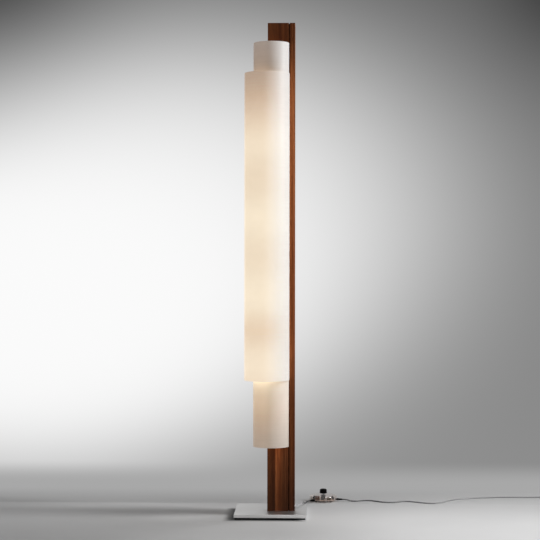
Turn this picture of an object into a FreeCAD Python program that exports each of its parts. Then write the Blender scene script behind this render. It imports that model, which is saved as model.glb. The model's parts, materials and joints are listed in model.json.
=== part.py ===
import FreeCAD, Part
import math
import os

import Sketcher

# Floor lamp: a square walnut post on a steel plate, with two curled translucent sheets held in
# grooves of the post, four slim bulbs behind them, and a lead with a foot dimmer and a plug.
# Millimetres. The origin is the middle of the underside, X to the right, Y to the back, Z up.

SIZES = (
    # foot
    ("plate_width", 260, "steel plate, square"),
    ("plate_thickness", 12.5, "steel plate"),
    ("plate_edge_radius", 0.8, "eased edges of the plate"),
    ("mat_thickness", 5.5, "rubber mat under the plate"),
    ("mat_inset", 3, "edge of the mat inside the plate's edge"),
    # post
    ("total_height", 1800, "floor to the top of the post"),
    ("post_width", 100, "post, square"),
    ("post_inset_left", 118, "left edge of the plate to the post"),
    ("post_inset_front", 85, "front edge of the plate to the post"),
    ("board_thickness", 19.7, "side and back board"),
    ("stave_width", 29, "left stave of the core"),
    ("groove_width", 3.6, "groove for the sheets"),
    ("groove_depth", 20, "groove for the sheets"),
    ("edge_ease", 0.6, "eased long edges of the wood"),
    ("channel_width", 12, "wiring channel, across"),
    ("channel_depth", 14, "wiring channel, front to back"),
    ("channel_setback", 41, "front of the post to the channel's middle"),
    ("recess_front", 15, "recess in the foot, forward of the channel's middle"),
    ("recess_back", 23, "recess in the foot, behind the channel's middle"),
    ("recess_height", 30, "recess in the foot"),
    # post screws
    ("screw_inset_left", 14, "left face of the post to the left screws"),
    ("screw_pitch", 50, "left to right screws"),
    ("screw_inset_front", 16, "front of the post to the front screws"),
    ("screw_radius", 3, "shank"),
    ("screw_head_radius", 5, "cylinder head"),
    ("screw_head_height", 6, "cylinder head"),
    ("screw_length", 20, "under the head"),
    ("screw_socket_width", 5, "hexagon socket, across flats"),
    ("screw_socket_depth", 3, "hexagon socket"),
    ("screw_slack", 0.3, "screw in the plate, all round"),
    ("insert_radius", 4.5, "threaded insert, outside"),
    ("insert_length", 16, "threaded insert"),
    # sheets
    ("sheet_thickness", 1.2, "laminate of both sheets"),
    ("sheet_slack", 0.3, "sheet to the wall of its groove"),
    ("tab_depth", 16, "sheet inside its groove"),
    ("outer_radius", 81.65, "outer sheet, middle of its thickness"),
    ("outer_bottom", 496, "outer sheet, lower rim"),
    ("outer_height", 1119, "outer sheet"),
    ("inner_radius", 65.4, "inner sheet, middle of its thickness"),
    ("inner_bottom", 253, "inner sheet, lower rim"),
    ("inner_height", 1474, "inner sheet"),
    ("pin_radius", 1.5, "stop pins under the sheets"),
    ("pin_set", 10, "stop pins, set into the wood"),
    ("pin_inset", 9, "face of the post to the stop pins"),
    # bulbs and their holders
    ("bulb_offset", 15.5, "corner of the post to the bulbs, both ways"),
    ("first_bulb", 540, "middle of the lowest bulb"),
    ("bulb_spacing", 272, "bulb to bulb"),
    ("bulb_radius", 13, "glass"),
    ("bulb_length", 78, "glass above the cap"),
    ("bulb_neck", 8, "radius of the glass at the cap"),
    ("bulb_neck_length", 6, "straight neck of the glass"),
    ("bulb_shoulder", 18, "glass from the cap to its full radius"),
    ("bulb_dome", 11, "rounded top of the glass"),
    ("cap_radius", 6.9, "screw cap"),
    ("holder_radius", 13, "lampholder"),
    ("holder_foot_radius", 10, "lampholder, lower end"),
    ("holder_height", 46, "lampholder"),
    ("holder_step", 9, "lampholder, height of its lower end"),
    ("holder_well", 26, "depth of the holder's opening"),
    ("nipple_radius", 5, "threaded tube that clamps the holder"),
    ("nipple_bore", 2.3, "its bore, radius"),
    ("nipple_length", 22, "threaded tube"),
    ("nipple_proud", 1.5, "threaded tube below its nut"),
    ("nut_width", 14, "nut of the nipple, across flats"),
    ("nut_height", 3, "nut of the nipple"),
    ("bracket_thickness", 1.5, "sheet steel bracket"),
    ("bracket_width", 30, "bracket on the post"),
    ("bracket_inset", 2, "left face of the post to the bracket's tab"),
    ("bracket_tab", 28, "bracket, height of its tab"),
    ("bracket_screw_inset", 6, "sides of the bracket to its screws"),
    ("bracket_screw_radius", 1.75, "bracket screws"),
    ("bracket_screw_length", 16, "bracket screws"),
    ("bracket_screw_head", 3.2, "bracket screws, radius of the head"),
    ("bracket_screw_top", 2.2, "bracket screws, height of the head"),
    ("holder_lead_radius", 2, "lead to a holder"),
    ("holder_lead_drop", 22, "lead below the shelf of its bracket"),
    ("holder_lead_end", 10, "lead above the shelf, inside the nipple"),
    ("holder_lead_bend", 15, "bends of the leads and of the trunk"),
    ("trunk_radius", 3.5, "wiring in the channel"),
    ("fit_slack", 0.3, "loose fits and laid wires"),
    ("bore_slack", 0.05, "close fits, on the radius"),
    # terminal block in the foot
    ("terminal_inset", 13, "stave joint to the terminal block"),
    ("terminal_length", 17, "along the wires"),
    ("terminal_width", 24, "across the wires"),
    ("terminal_height", 14, "terminal block"),
    ("terminal_pitch", 8, "pole to pole"),
    ("terminal_screw", 2, "screw wells, radius"),
    ("terminal_screw_depth", 4.6, "screw wells"),
    ("terminal_screw_inset", 4.25, "ends of the block to the screw wells"),
    ("cord_bend", 20, "bend of the cord inside the foot"),
    # cord and its boots
    ("cord_radius", 2.5, "round cord"),
    ("exit_setback", 79, "front of the post to the exit, on its right face"),
    ("exit_rise", 7, "top of the plate to the cord's axis"),
    ("exit_turn", 60, "degrees from +X to the cord's heading"),
    ("boot_radius", 4, "boot, at its root"),
    ("boot_tip_radius", 3.1, "boot, at its tip"),
    ("boot_length", 24, "boot outside the post"),
    ("boot_root", 14, "boot inside the post"),
    ("boot_collar", 3, "straight part of a boot, next to its housing"),
    ("boot_notch", 1.4, "notches between the ribs of a boot, their width"),
    ("boot_notch_radius", 2.9, "bottom of the notches"),
    ("tunnel_reach", 50, "cord tunnel, from the face of the post inward"),
    # dimmer
    ("dimmer_x", 195, "middle of the dimmer"),
    ("dimmer_y", 312, "middle of the dimmer"),
    ("puck_radius", 54, "housing, widest"),
    ("shoulder_radius", 9, "housing, rounded shoulder"),
    ("puck_height", 26, "floor to the flat top"),
    ("puck_wall", 2, "housing wall"),
    ("feet_height", 3, "rubber feet"),
    ("feet_radius", 4.5, "rubber feet"),
    ("feet_circle", 40, "rubber feet, radius of their circle"),
    ("puck_screw_circle", 49, "housing screws, radius of their circle"),
    ("puck_screw_turn", 43, "degrees to the first housing screw"),
    ("puck_screw_radius", 1.5, "housing screws"),
    ("puck_screw_head", 2.6, "housing screws, radius of the head"),
    ("puck_screw_length", 14, "housing screws"),
    ("collar_radius", 10, "collar round the bushing"),
    ("collar_height", 1.5, "collar round the bushing"),
    ("cable_height", 9, "floor to the cables' axis and to the joint of tray and cover"),
    ("entry_turn", 225, "degrees round the housing to the lead's entry"),
    ("outlet_turn", 352, "degrees round the housing to the cord's outlet"),
    ("puck_boot_length", 20, "boots outside the housing"),
    ("cable_lead", 14, "straight stretch of the cord next to a boot"),
    ("puck_boot_radius", 4.6, "boots outside the housing"),
    ("puck_neck", 3.4, "boots in the housing's wall"),
    ("puck_flange_radius", 3.9, "boots inside the housing"),
    ("puck_flange", 1.6, "boots inside the housing"),
    ("cable_inside", 8, "cables inside the housing"),
    ("board_radius", 44.5, "circuit board"),
    ("board_gap", 2, "inside floor of the tray to the board"),
    ("board_height", 1.6, "circuit board"),
    ("post_radius", 3.2, "screw posts and board rests"),
    ("rest_circle", 36, "board rests, radius of their circle"),
    # knob, shaft and switch
    ("knob_radius", 14, "knob, at its rim"),
    ("knob_top_radius", 13, "knob, at its top"),
    ("knob_height", 16.5, "knob"),
    ("knob_gap", 5.5, "flat top to the knob's rim"),
    ("knob_wall", 2.2, "skirt of the knob"),
    ("knob_hollow", 6.5, "depth inside the skirt"),
    ("knob_hub", 5.2, "radius of the hub"),
    ("knob_hub_rise", 2.5, "rim to the hub"),
    ("knob_roof", 2.4, "shaft to the top of the knob"),
    ("knob_fillet", 5, "rounding of the knob's top edge"),
    ("flute_radius", 1.2, "grip flutes"),
    ("flute_count", 20, "grip flutes"),
    ("press_travel", 2.5, "knob pressed"),
    ("shaft_radius", 3, "shaft"),
    ("shaft_foot", 16, "floor to the lower end of the shaft"),
    ("shaft_flat", 2.2, "axis to the flat of the shaft"),
    ("bushing_radius", 4.5, "threaded bushing of the pot"),
    ("bushing_proud", 4.5, "bushing above the flat top"),
    ("bushing_nut_width", 12, "nut on the bushing, across flats"),
    ("bushing_nut_height", 2, "nut on the bushing"),
    ("pot_width", 17, "pot and switch, square"),
    ("plunger_radius", 1.6, "switch plunger"),
    ("plunger_head", 1.2, "head of the switch plunger"),
    ("plunger_length", 3.2, "stem of the switch plunger"),
    # parts on the board, placed from the middle of the dimmer
    ("choke_x", -24, "choke"),
    ("choke_y", -13, "choke"),
    ("choke_radius", 10.5, "choke, its flanges"),
    ("choke_winding", 9.2, "choke, its winding"),
    ("choke_height", 14, "choke"),
    ("choke_flange", 1.6, "choke, its flanges"),
    ("capacitor_x", 20, "capacitor"),
    ("capacitor_y", -26, "capacitor"),
    ("capacitor_length", 19, "capacitor"),
    ("capacitor_width", 9, "capacitor"),
    ("capacitor_height", 9, "capacitor"),
    ("capacitor_round", 1.6, "capacitor, its upright edges"),
    ("sink_x", -4, "heat sink"),
    ("sink_y", -25, "heat sink"),
    ("sink_length", 12, "heat sink"),
    ("sink_width", 10, "heat sink"),
    ("sink_height", 12, "heat sink"),
    ("sink_base", 3, "heat sink under its fins"),
    ("fin_gap", 2, "between the fins, and their thickness"),
    ("supply_terminals_x", 37, "terminal block of the supply"),
    ("supply_terminals_y", -5, "terminal block of the supply"),
    ("lamp_terminals_x", -36, "terminal block of the lamp"),
    ("lamp_terminals_y", 8, "terminal block of the lamp"),
    ("puck_terminal_length", 10, "terminal blocks on the board, along the wires"),
    ("puck_terminal_width", 16, "terminal blocks on the board"),
    ("puck_terminal_height", 11, "terminal blocks on the board"),
    ("puck_terminal_step", 4, "terminal blocks on the board, step at the wire side"),
    # coil of the cord that is put away
    ("coil_x", 1110, "middle of the coil"),
    ("coil_y", 453, "middle of the coil"),
    ("coil_radius", 36, "middle of the outermost turn"),
    ("coil_pitch", 5.6, "turn to turn"),
    ("coil_turns", 3, "turns in each of the two layers"),
    ("coil_rise", 5.6, "layer to layer"),
    ("coil_base", 3.9, "floor to the cord's axis in the lower layer"),
    ("tie_thickness", 1.2, "strap round the turns"),
    ("tie_width", 11, "strap round the turns"),
    ("tie_slack", 0.2, "strap to the turns, and to the floor"),
    ("tie_round", 2.5, "strap, its corners"),
    ("tie_room", 2.3, "strap inside the innermost turn"),
    # plug
    ("plug_x", 1199, "end of the plug at the cord"),
    ("plug_y", 409, "plug"),
    ("plug_lift", 0.1, "floor to the plug"),
    ("plug_boot_length", 20, "boot of the plug"),
    ("plug_length", 34, "flat two-pin plug"),
    ("plug_width", 35, "plug, at the pins"),
    ("plug_neck", 17, "plug, at the cord"),
    ("plug_neck_length", 11, "plug, before it widens"),
    ("plug_grip", 24, "plug, from the cord to its full width"),
    ("plug_groove", 1.4, "grooves of the grip, their width"),
    ("plug_groove_pitch", 3.4, "grooves of the grip"),
    ("plug_waist", 0.9, "grooves of the grip, their depth"),
    ("plug_thickness", 14, "plug"),
    ("plug_round", 2.5, "plug, its edges"),
    ("plug_boot_radius", 5.5, "boot of the plug, at its root"),
    ("plug_pin_radius", 2, "contact pins"),
    ("plug_pin_root", 6, "contact pins inside the body"),
    ("plug_sleeve_length", 10, "insulating sleeves of the pins"),
    ("plug_sleeve_radius", 1.9, "insulating sleeves of the pins"),
    ("plug_core_radius", 1.5, "contact pins inside their sleeves"),
    ("plug_pin_length", 19, "contact pins"),
    ("plug_pin_pitch", 18.6, "contact pins"),
    ("plug_pin_round", 1.5, "contact pins, their ends"),
    ("cut_over", 2, "overrun of every cut"),
)
BULBS = 4
HOUSING_SCREWS = 3
HOUSING_FEET = 4
BOOT_NOTCHES = 4
GRIP_GROOVES = 3
PIN_SIDES = (-1, 1)
# Share of a cord's shorter run that the arc at a corner takes, at each end of the run.
ARC_SHARE = 0.45
# Shares of a turn over which the coil turns back outward, and climbs to its upper layer.
TURN_BACK_SHARE = 0.25
CLIMB_SHARE = 0.5
# Spans of the coil in each turn, and the share of a turn between points that give its heading.
COIL_SPANS = 4
NEARBY_SHARE = 0.001
# Points of a cord that lie too near each other along it to be compared.
NEIGHBOURS = 12
# An edge counts as parallel to a direction when this share of its length runs along it.
ALONG_SHARE = 0.99
TINY = 1e-6

doc = FreeCAD.newDocument("floor_lamp")
sheet = doc.addObject("Spreadsheet::Sheet", "dim")
for row, (name, size, note) in enumerate(SIZES, start=1):
    sheet.set(f"A{row}", name)
    sheet.set(f"B{row}", str(size))
    sheet.set(f"C{row}", note)
    sheet.setAlias(f"B{row}", name)
doc.recompute()

parts = []


def value(text):
    """What an expression on the sheet comes to, in millimetres."""
    return float(sheet.evalExpression(text))


# Places that several pieces share, as expressions on the sheet.
PLATE_TOP = "(dim.mat_thickness + dim.plate_thickness)"
POST_LEFT = "(dim.post_inset_left - dim.plate_width / 2)"
POST_FRONT = "(dim.post_inset_front - dim.plate_width / 2)"
POST_RIGHT = f"({POST_LEFT} + dim.post_width)"
POST_BACK = f"({POST_FRONT} + dim.post_width)"
POST_HEIGHT = f"(dim.total_height - {PLATE_TOP})"
CORE_RIGHT = f"({POST_RIGHT} - dim.board_thickness)"
CORE_BACK = f"({POST_BACK} - dim.board_thickness)"
CORE_WIDTH = "(dim.post_width - dim.board_thickness)"
STAVE_JOINT = f"({POST_LEFT} + dim.stave_width)"
CHANNEL_X = f"({STAVE_JOINT} - dim.channel_width / 2)"
CHANNEL_Y = f"({POST_FRONT} + dim.channel_setback)"
SCREWS_LEFT = f"({POST_LEFT} + dim.screw_inset_left)"
SCREWS_X = (SCREWS_LEFT, f"({SCREWS_LEFT} + dim.screw_pitch)")
SCREWS_Y = (f"({POST_FRONT} + dim.screw_inset_front)", f"({POST_BACK} - dim.board_thickness / 2)")
SCREW_SEAT = "(dim.mat_thickness + dim.screw_head_height + dim.fit_slack)"
BULB_X = f"({POST_LEFT} - dim.bulb_offset)"
BULB_Y = f"({POST_FRONT} - dim.bulb_offset)"
CORD_Z = f"({PLATE_TOP} + dim.exit_rise)"
EXIT_Y = f"({POST_FRONT} + dim.exit_setback)"
GLASS_FOOT = "(dim.bulb_length / 2 + dim.fit_slack)"
# The outer sheet lies against the boards in both grooves, the inner one against the core.
OUTER_TAB = f"({CORE_RIGHT} - dim.sheet_slack - dim.sheet_thickness / 2)"
OUTER_TAB_Y = f"({CORE_BACK} - dim.sheet_slack - dim.sheet_thickness / 2)"
INNER_TAB = f"({CORE_RIGHT} - dim.groove_width + dim.sheet_slack + dim.sheet_thickness / 2)"
INNER_TAB_Y = f"({CORE_BACK} - dim.groove_width + dim.sheet_slack + dim.sheet_thickness / 2)"
CHANNEL_LEFT = f"({CHANNEL_X} - dim.channel_width / 2)"
CHANNEL_FRONT = f"({CHANNEL_Y} - dim.channel_depth / 2)"
GROOVE_X = f"({CORE_RIGHT} - dim.groove_width)"
GROOVE_Y = f"({CORE_BACK} - dim.groove_width)"
STOP_X = f"({POST_LEFT} + dim.pin_inset)"
STOP_Y = f"({POST_FRONT} + dim.pin_inset)"
STOP_OUTER = "(dim.outer_bottom - dim.pin_radius - dim.fit_slack)"
STOP_INNER = "(dim.inner_bottom - dim.pin_radius - dim.fit_slack)"
STOP_DEPTH = "(dim.pin_set + dim.fit_slack)"
CUT_FOOT = f"({PLATE_TOP} - dim.cut_over)"
THROUGH_POST = f"({POST_HEIGHT} + 2 * dim.cut_over)"
BRACKET_LEFT = f"({POST_LEFT} + dim.bracket_inset)"
BRACKET_RIGHT = f"({BRACKET_LEFT} + dim.bracket_width)"
BRACKET_FACE = f"({POST_FRONT} - dim.bracket_thickness)"
BRACKET_SCREWS_X = (f"({BRACKET_LEFT} + dim.bracket_screw_inset)",
                    f"({BRACKET_RIGHT} - dim.bracket_screw_inset)")
CORD_BORE = "(dim.cord_radius + dim.bore_slack)"
NIPPLE_BORE = "(dim.nipple_radius + dim.bore_slack)"
TERMINAL_LEFT = f"({STAVE_JOINT} + dim.terminal_inset)"
DIMMER_X, DIMMER_Y = "dim.dimmer_x", "dim.dimmer_y"
TRAY_FLOOR = "(dim.feet_height + dim.puck_wall)"
BOARD_TOP = f"({TRAY_FLOOR} + dim.board_gap + dim.board_height)"
ROOF = "(dim.puck_height - dim.puck_wall)"
BUSHING_TOP = "(dim.puck_height + dim.bushing_proud)"
KNOB_RIM = "(dim.puck_height + dim.knob_gap)"
SHAFT_TOP = f"({KNOB_RIM} + dim.knob_height - dim.knob_roof)"
PLUNGER_REACH = "(dim.plunger_head + dim.plunger_length)"
SCREW_BORE = "(dim.puck_screw_radius + dim.bore_slack)"
PLUG_AXIS = "(dim.plug_lift + dim.plug_thickness / 2)"
PLUG_FACE = "(dim.plug_x + dim.plug_length)"
PIN_ROOT = f"({PLUG_FACE} - dim.plug_pin_root)"
PIN_ROOTED = "(dim.plug_pin_root + dim.plug_sleeve_length)"


def bulb_height(number):
    """Middle of a bulb's glass."""
    return f"(dim.first_bulb + {number} * dim.bulb_spacing)"


def shelf_height(number):
    """Top of the bracket's shelf, on which the holder stands."""
    return f"({bulb_height(number)} - {GLASS_FOOT} - dim.holder_height)"


def lead_height(number):
    """Level stretch of the lead to a holder."""
    return f"({shelf_height(number)} - dim.holder_lead_drop)"


def bracket_screw_height(number):
    """Screws in the middle of the bracket's tab."""
    return f"({shelf_height(number)} + dim.bracket_tab / 2)"


def bind(piece, **sizes):
    """Bind properties to the sheet: Placement_Base_x stands for Placement.Base.x."""
    for name, text in sizes.items():
        piece.setExpression(name.replace("_", "."), text)
    return piece


def place(piece, x=None, y=None, z=None, turn=None):
    """Move a piece to a place given as expressions, and turn it about the vertical."""
    for axis, text in (("x", x), ("y", y), ("z", z)):
        if text is not None:
            piece.setExpression(f"Placement.Base.{axis}", text)
    if turn is not None:
        piece.setExpression("Placement.Rotation.Angle", turn)
    return piece


def box(name, long, wide, high, x="0", y="0", z="0"):
    """Box from its lowest corner."""
    piece = doc.addObject("Part::Box", name)
    bind(piece, Length=long, Width=wide, Height=high)
    return place(piece, x, y, z)


def rod(name, radius, high, x="0", y="0", z="0", along="Z"):
    """Cylinder from the middle of its end face, along one of the axes."""
    piece = doc.addObject("Part::Cylinder", name)
    bind(piece, Radius=radius, Height=high)
    if along == "X":
        piece.Placement.Rotation = FreeCAD.Rotation(FreeCAD.Vector(0, 1, 0), 90)
    if along == "Y":
        piece.Placement.Rotation = FreeCAD.Rotation(FreeCAD.Vector(1, 0, 0), -90)
    return place(piece, x, y, z)


def nut(name, flats, high, x="0", y="0", z="0"):
    """Hexagonal prism, given across its flats."""
    piece = doc.addObject("Part::Prism", name)
    piece.Polygon = 6
    bind(piece, Circumradius=f"{flats} / sqrt(3)", Height=high)
    return place(piece, x, y, z)


def cut(name, base, *tools):
    """Base with every tool taken away."""
    for number, tool in enumerate(tools):
        last = number == len(tools) - 1
        piece = doc.addObject("Part::Cut", name if last else f"{name}_{number}")
        piece.Base, piece.Tool = base, tool
        base = piece
    return base


def join(name, *pieces):
    """Pieces fused into one solid."""
    piece = doc.addObject("Part::MultiFuse", name)
    piece.Shapes = list(pieces)
    piece.Refine = True
    return piece


def group(name, pieces):
    """Separate solids that share one node."""
    piece = doc.addObject("Part::Compound", name)
    piece.Links = list(pieces)
    return piece


def eased(name, base, radius, wanted):
    """Base with the edges that `wanted` picks rounded by a size on the sheet."""
    doc.recompute()
    piece = doc.addObject("Part::Fillet", name)
    piece.Base = base
    edges = [number for number, edge in enumerate(base.Shape.Edges, start=1) if wanted(edge)]
    piece.Edges = [(number, value(radius), value(radius)) for number in edges]
    return piece


def upright(edge):
    """True for a straight vertical edge."""
    start, end = edge.Vertexes[0].Point, edge.Vertexes[-1].Point
    return len(edge.Vertexes) == 2 and abs(start.z - end.z) > edge.Length * ALONG_SHARE


def keep(label, piece):
    """Hand a finished sub-part over under its own label."""
    piece.Label = label
    parts.append(piece)
    return piece


def plane(body, role):
    """One of a body's own origin planes."""
    return next(item for item in body.Origin.OriginFeatures if item.Role == role)


def outline(body, name, role, points, lift=None):
    """Sketch of a closed outline whose corners are expressions on the sheet."""
    sketch = body.newObject("Sketcher::SketchObject", name)
    sketch.AttachmentSupport = (plane(body, role), [""])
    sketch.MapMode = "FlatFace"
    if lift is not None:
        sketch.setExpression("AttachmentOffset.Base.z", lift)
    corners = [FreeCAD.Vector(value(x), value(y), 0) for x, y in points]
    count = len(corners)
    for number, corner in enumerate(corners):
        sketch.addGeometry(Part.LineSegment(corner, corners[(number + 1) % count]), False)
    for number in range(count):
        sketch.addConstraint(Sketcher.Constraint("Coincident", number, 2, (number + 1) % count, 1))
    for number, texts in enumerate(points):
        spans = (("DistanceX", texts[0], corners[number].x), ("DistanceY", texts[1], corners[number].y))
        for kind, text, span in spans:
            index = sketch.addConstraint(Sketcher.Constraint(kind, -1, 1, number, 1, span))
            sketch.setExpression(f"Constraints[{index}]", text)
    return sketch


def circles(body, name, role, centres, radius, lift=None):
    """Sketch of equal circles."""
    sketch = body.newObject("Sketcher::SketchObject", name)
    sketch.AttachmentSupport = (plane(body, role), [""])
    sketch.MapMode = "FlatFace"
    if lift is not None:
        sketch.setExpression("AttachmentOffset.Base.z", lift)
    for number, (x, y) in enumerate(centres):
        middle = FreeCAD.Vector(value(x), value(y), 0)
        sketch.addGeometry(Part.Circle(middle, FreeCAD.Vector(0, 0, 1), value(radius)), False)
        spans = (("DistanceX", x, middle.x), ("DistanceY", y, middle.y))
        for kind, text, span in spans:
            index = sketch.addConstraint(Sketcher.Constraint(kind, -1, 1, number, 3, span))
            sketch.setExpression(f"Constraints[{index}]", text)
        index = sketch.addConstraint(Sketcher.Constraint("Radius", number, value(radius)))
        sketch.setExpression(f"Constraints[{index}]", radius)
    return sketch


def body_of(name):
    """New body."""
    return doc.addObject("PartDesign::Body", name)


def pad(body, sketch, high, middle=False):
    """Sketch raised into a solid."""
    feature = body.newObject("PartDesign::Pad", sketch.Name + "_pad")
    feature.Profile = sketch
    feature.setExpression("Length", high)
    if middle:
        feature.SideType = "Symmetric"
    return feature


def turned(name, points):
    """Body turned about its own upright axis from an outline of (radius, height) corners."""
    body = body_of(name)
    sketch = outline(body, name + "_outline", "XZ_Plane", points)
    feature = body.newObject("PartDesign::Revolution", name + "_turn")
    feature.Profile = sketch
    feature.ReferenceAxis = (sketch, ["V_Axis"])
    feature.Angle = 360
    return body


def rounded(body, base, radius, wanted):
    """Fillet on the edges that `wanted` picks, as the body's last feature."""
    doc.recompute()
    names = [f"Edge{number}" for number, edge in enumerate(base.Shape.Edges, start=1) if wanted(edge)]
    feature = body.newObject("PartDesign::Fillet", base.Name + "_fillet")
    feature.Base = (base, names)
    feature.setExpression("Radius", radius)
    return feature


def level(edge, high):
    """True for an edge that lies at one height."""
    return abs(edge.BoundBox.ZMin - high) < TINY and abs(edge.BoundBox.ZMax - high) < TINY


def corner_arc(before, corner, after, length):
    """The arc that touches both runs of a corner at `length` from it: three points and its radius."""
    into = (before - corner).normalize()
    out = (after - corner).normalize()
    half = into.getAngle(out) / 2
    radius = length * math.tan(half)
    inward = (into + out).normalize()
    middle = corner + inward * (radius / math.sin(half) - radius)
    return corner + into * length, middle, corner + out * length, radius


def run_path(points):
    """Straight runs joined by tangent arcs, each as large as its shorter run allows."""
    edges, radii, start = [], [], points[0]
    for before, corner, after in zip(points, points[1:], points[2:]):
        reach = ARC_SHARE * min((corner - before).Length, (after - corner).Length)
        first, middle, last, radius = corner_arc(before, corner, after, reach)
        edges.append(Part.LineSegment(start, first).toShape())
        edges.append(Part.Arc(first, middle, last).toShape())
        radii.append(radius)
        start = last
    edges.append(Part.LineSegment(start, points[-1]).toShape())
    return Part.Wire(edges), radii


def fixed_path(points, radius):
    """Straight runs joined by arcs of one radius, for wire that is bent to a size."""
    edges, start = [], points[0]
    for before, corner, after in zip(points, points[1:], points[2:]):
        half = (before - corner).getAngle(after - corner) / 2
        first, middle, last, _ = corner_arc(before, corner, after, radius / math.tan(half))
        edges.append(Part.LineSegment(start, first).toShape())
        edges.append(Part.Arc(first, middle, last).toShape())
        start = last
    edges.append(Part.LineSegment(start, points[-1]).toShape())
    return Part.Wire(edges)


def tube(name, path, radius):
    """Round solid along a path."""
    start = path.Edges[0]
    heading = start.tangentAt(start.FirstParameter)
    ring = Part.Wire([Part.Circle(start.valueAt(start.FirstParameter), heading, radius).toShape()])
    piece = doc.addObject("Part::Feature", name)
    piece.Shape = path.makePipeShell([ring], True, False)
    share = piece.Shape.Volume / (math.pi * radius ** 2 * path.Length)
    print(f"{name}: {path.Length:.0f} mm long, volume {share:.4f} of section times length")
    return piece


def point(x, y, z):
    """Point whose coordinates are expressions on the sheet."""
    return FreeCAD.Vector(value(x), value(y), value(z))


def base_plate():
    """Steel plate with four counterbored holes from below."""
    body = body_of("base_plate")
    half = "dim.plate_width / 2"
    corners = ((f"-{half}", f"-{half}"), (half, f"-{half}"), (half, half), (f"-{half}", half))
    blank = pad(body, outline(body, "plate_outline", "XY_Plane", corners), "dim.plate_thickness")
    soft = rounded(body, blank, "dim.plate_edge_radius", lambda edge: True)
    doc.recompute()
    centres = [(x, y) for x in SCREWS_X for y in SCREWS_Y]
    sketch = circles(body, "plate_holes", "XY_Plane", centres, "dim.screw_radius + dim.screw_slack")
    hole = body.newObject("PartDesign::Hole", "plate_counterbores")
    hole.Profile = sketch
    doc.recompute()
    hole.DepthType = "ThroughAll"
    hole.HoleCutType = "Counterbore"
    hole.HoleCutCustomValues = True
    hole.Reversed = True
    bind(hole, Diameter="2 * (dim.screw_radius + dim.screw_slack)")
    bind(hole, HoleCutDiameter="2 * (dim.screw_head_radius + dim.screw_slack)")
    bind(hole, HoleCutDepth=f"{SCREW_SEAT} - dim.mat_thickness")
    doc.recompute()
    if hole.Shape.Volume >= soft.Shape.Volume:
        raise ValueError("the holes of the base plate cut nothing")
    place(body, z="dim.mat_thickness")
    keep("base_plate", body)


def base_mat():
    """Rubber mat with access holes to the screws."""
    half = "(dim.plate_width / 2 - dim.mat_inset)"
    width = f"2 * {half}"
    blank = box("mat_blank", width, width, "dim.mat_thickness", f"-{half}", f"-{half}")
    radius = "dim.screw_head_radius + 2 * dim.screw_slack"
    tall = "dim.mat_thickness + 2 * dim.cut_over"
    holes = [rod(f"mat_hole_{i}{j}", radius, tall, x, y, "-dim.cut_over")
             for i, x in enumerate(SCREWS_X) for j, y in enumerate(SCREWS_Y)]
    keep("base_mat", cut("base_mat", blank, *holes))


def post_screw(name, x, y):
    """Cylinder-head screw with its hexagon socket, head down."""
    head = rod(f"screw_head_{name}", "dim.screw_head_radius", "dim.screw_head_height",
               x, y, f"{SCREW_SEAT} - dim.screw_head_height")
    socket = nut(f"screw_socket_{name}", "dim.screw_socket_width", "dim.screw_socket_depth + dim.cut_over",
                 x, y, f"{SCREW_SEAT} - dim.screw_head_height - dim.cut_over")
    shank = rod(f"screw_shank_{name}", "dim.screw_radius", "dim.screw_length", x, y, SCREW_SEAT)
    return cut(f"post_screw_{name}", join(f"screw_blank_{name}", head, shank), socket)


def post_insert(name, x, y):
    """Threaded insert in the foot of the post."""
    outside = rod(f"insert_outside_{name}", "dim.insert_radius", "dim.insert_length", x, y, PLATE_TOP)
    bore = rod(f"insert_bore_{name}", "dim.screw_radius + dim.bore_slack",
               "dim.insert_length + 2 * dim.cut_over", x, y, CUT_FOOT)
    return cut(f"post_insert_{name}", outside, bore)


def post_fixings():
    """Screws from below, and the threaded inserts that they grip."""
    spots = [(f"{i}{j}", x, y) for i, x in enumerate(SCREWS_X) for j, y in enumerate(SCREWS_Y)]
    keep("post_screws", group("post_screws", [post_screw(*spot) for spot in spots]))
    keep("post_inserts", group("post_inserts", [post_insert(*spot) for spot in spots]))


def insert_holes(name, columns, row):
    """Blind holes for the inserts of one piece of the post."""
    high = "dim.insert_length + dim.fit_slack + dim.cut_over"
    return [rod(f"{name}_{number}", "dim.insert_radius + dim.bore_slack", high, x, SCREWS_Y[row], CUT_FOOT)
            for number, x in enumerate(columns)]


def foot_recess(name):
    """Room for the terminal block, from the wiring channel to the side board."""
    return box(name, f"{CORE_RIGHT} - {CHANNEL_LEFT} + dim.cut_over", "dim.recess_front + dim.recess_back",
               "dim.recess_height + dim.cut_over", CHANNEL_LEFT, f"{CHANNEL_Y} - dim.recess_front", CUT_FOOT)


def outer_corner(x, y):
    """Picks the upright edges at one corner of the post."""
    place_x, place_y = value(x), value(y)

    def wanted(edge):
        middle = edge.CenterOfMass
        return upright(edge) and abs(middle.x - place_x) < TINY and abs(middle.y - place_y) < TINY
    return wanted


def post_piece(name, long, wide, x, y, corner):
    """Board or stave as high as the post, with its outer corner eased."""
    blank = box(f"{name}_blank", long, wide, POST_HEIGHT, x, y, PLATE_TOP)
    return eased(f"{name}_eased", blank, "dim.edge_ease", outer_corner(*corner))


def stop_hole(name, x, y, z, along):
    """Hole for a stop pin, from one of its ends."""
    return rod(name, "dim.pin_radius + dim.bore_slack", f"{STOP_DEPTH} + dim.cut_over", x, y, z, along)


def upright_axis():
    """Direction in which pieces are turned before they are laid elsewhere."""
    return FreeCAD.Vector(0, 0, 1)


def exit_heading():
    """Direction in which the cord leaves the post."""
    turn = math.radians(value("dim.exit_turn"))
    return FreeCAD.Vector(math.cos(turn), math.sin(turn), 0)


def exit_axis(along):
    """Point of the cord's exit axis, counted from the right face of the post outward."""
    return point(POST_RIGHT, EXIT_Y, CORD_Z) + exit_heading() * along


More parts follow.
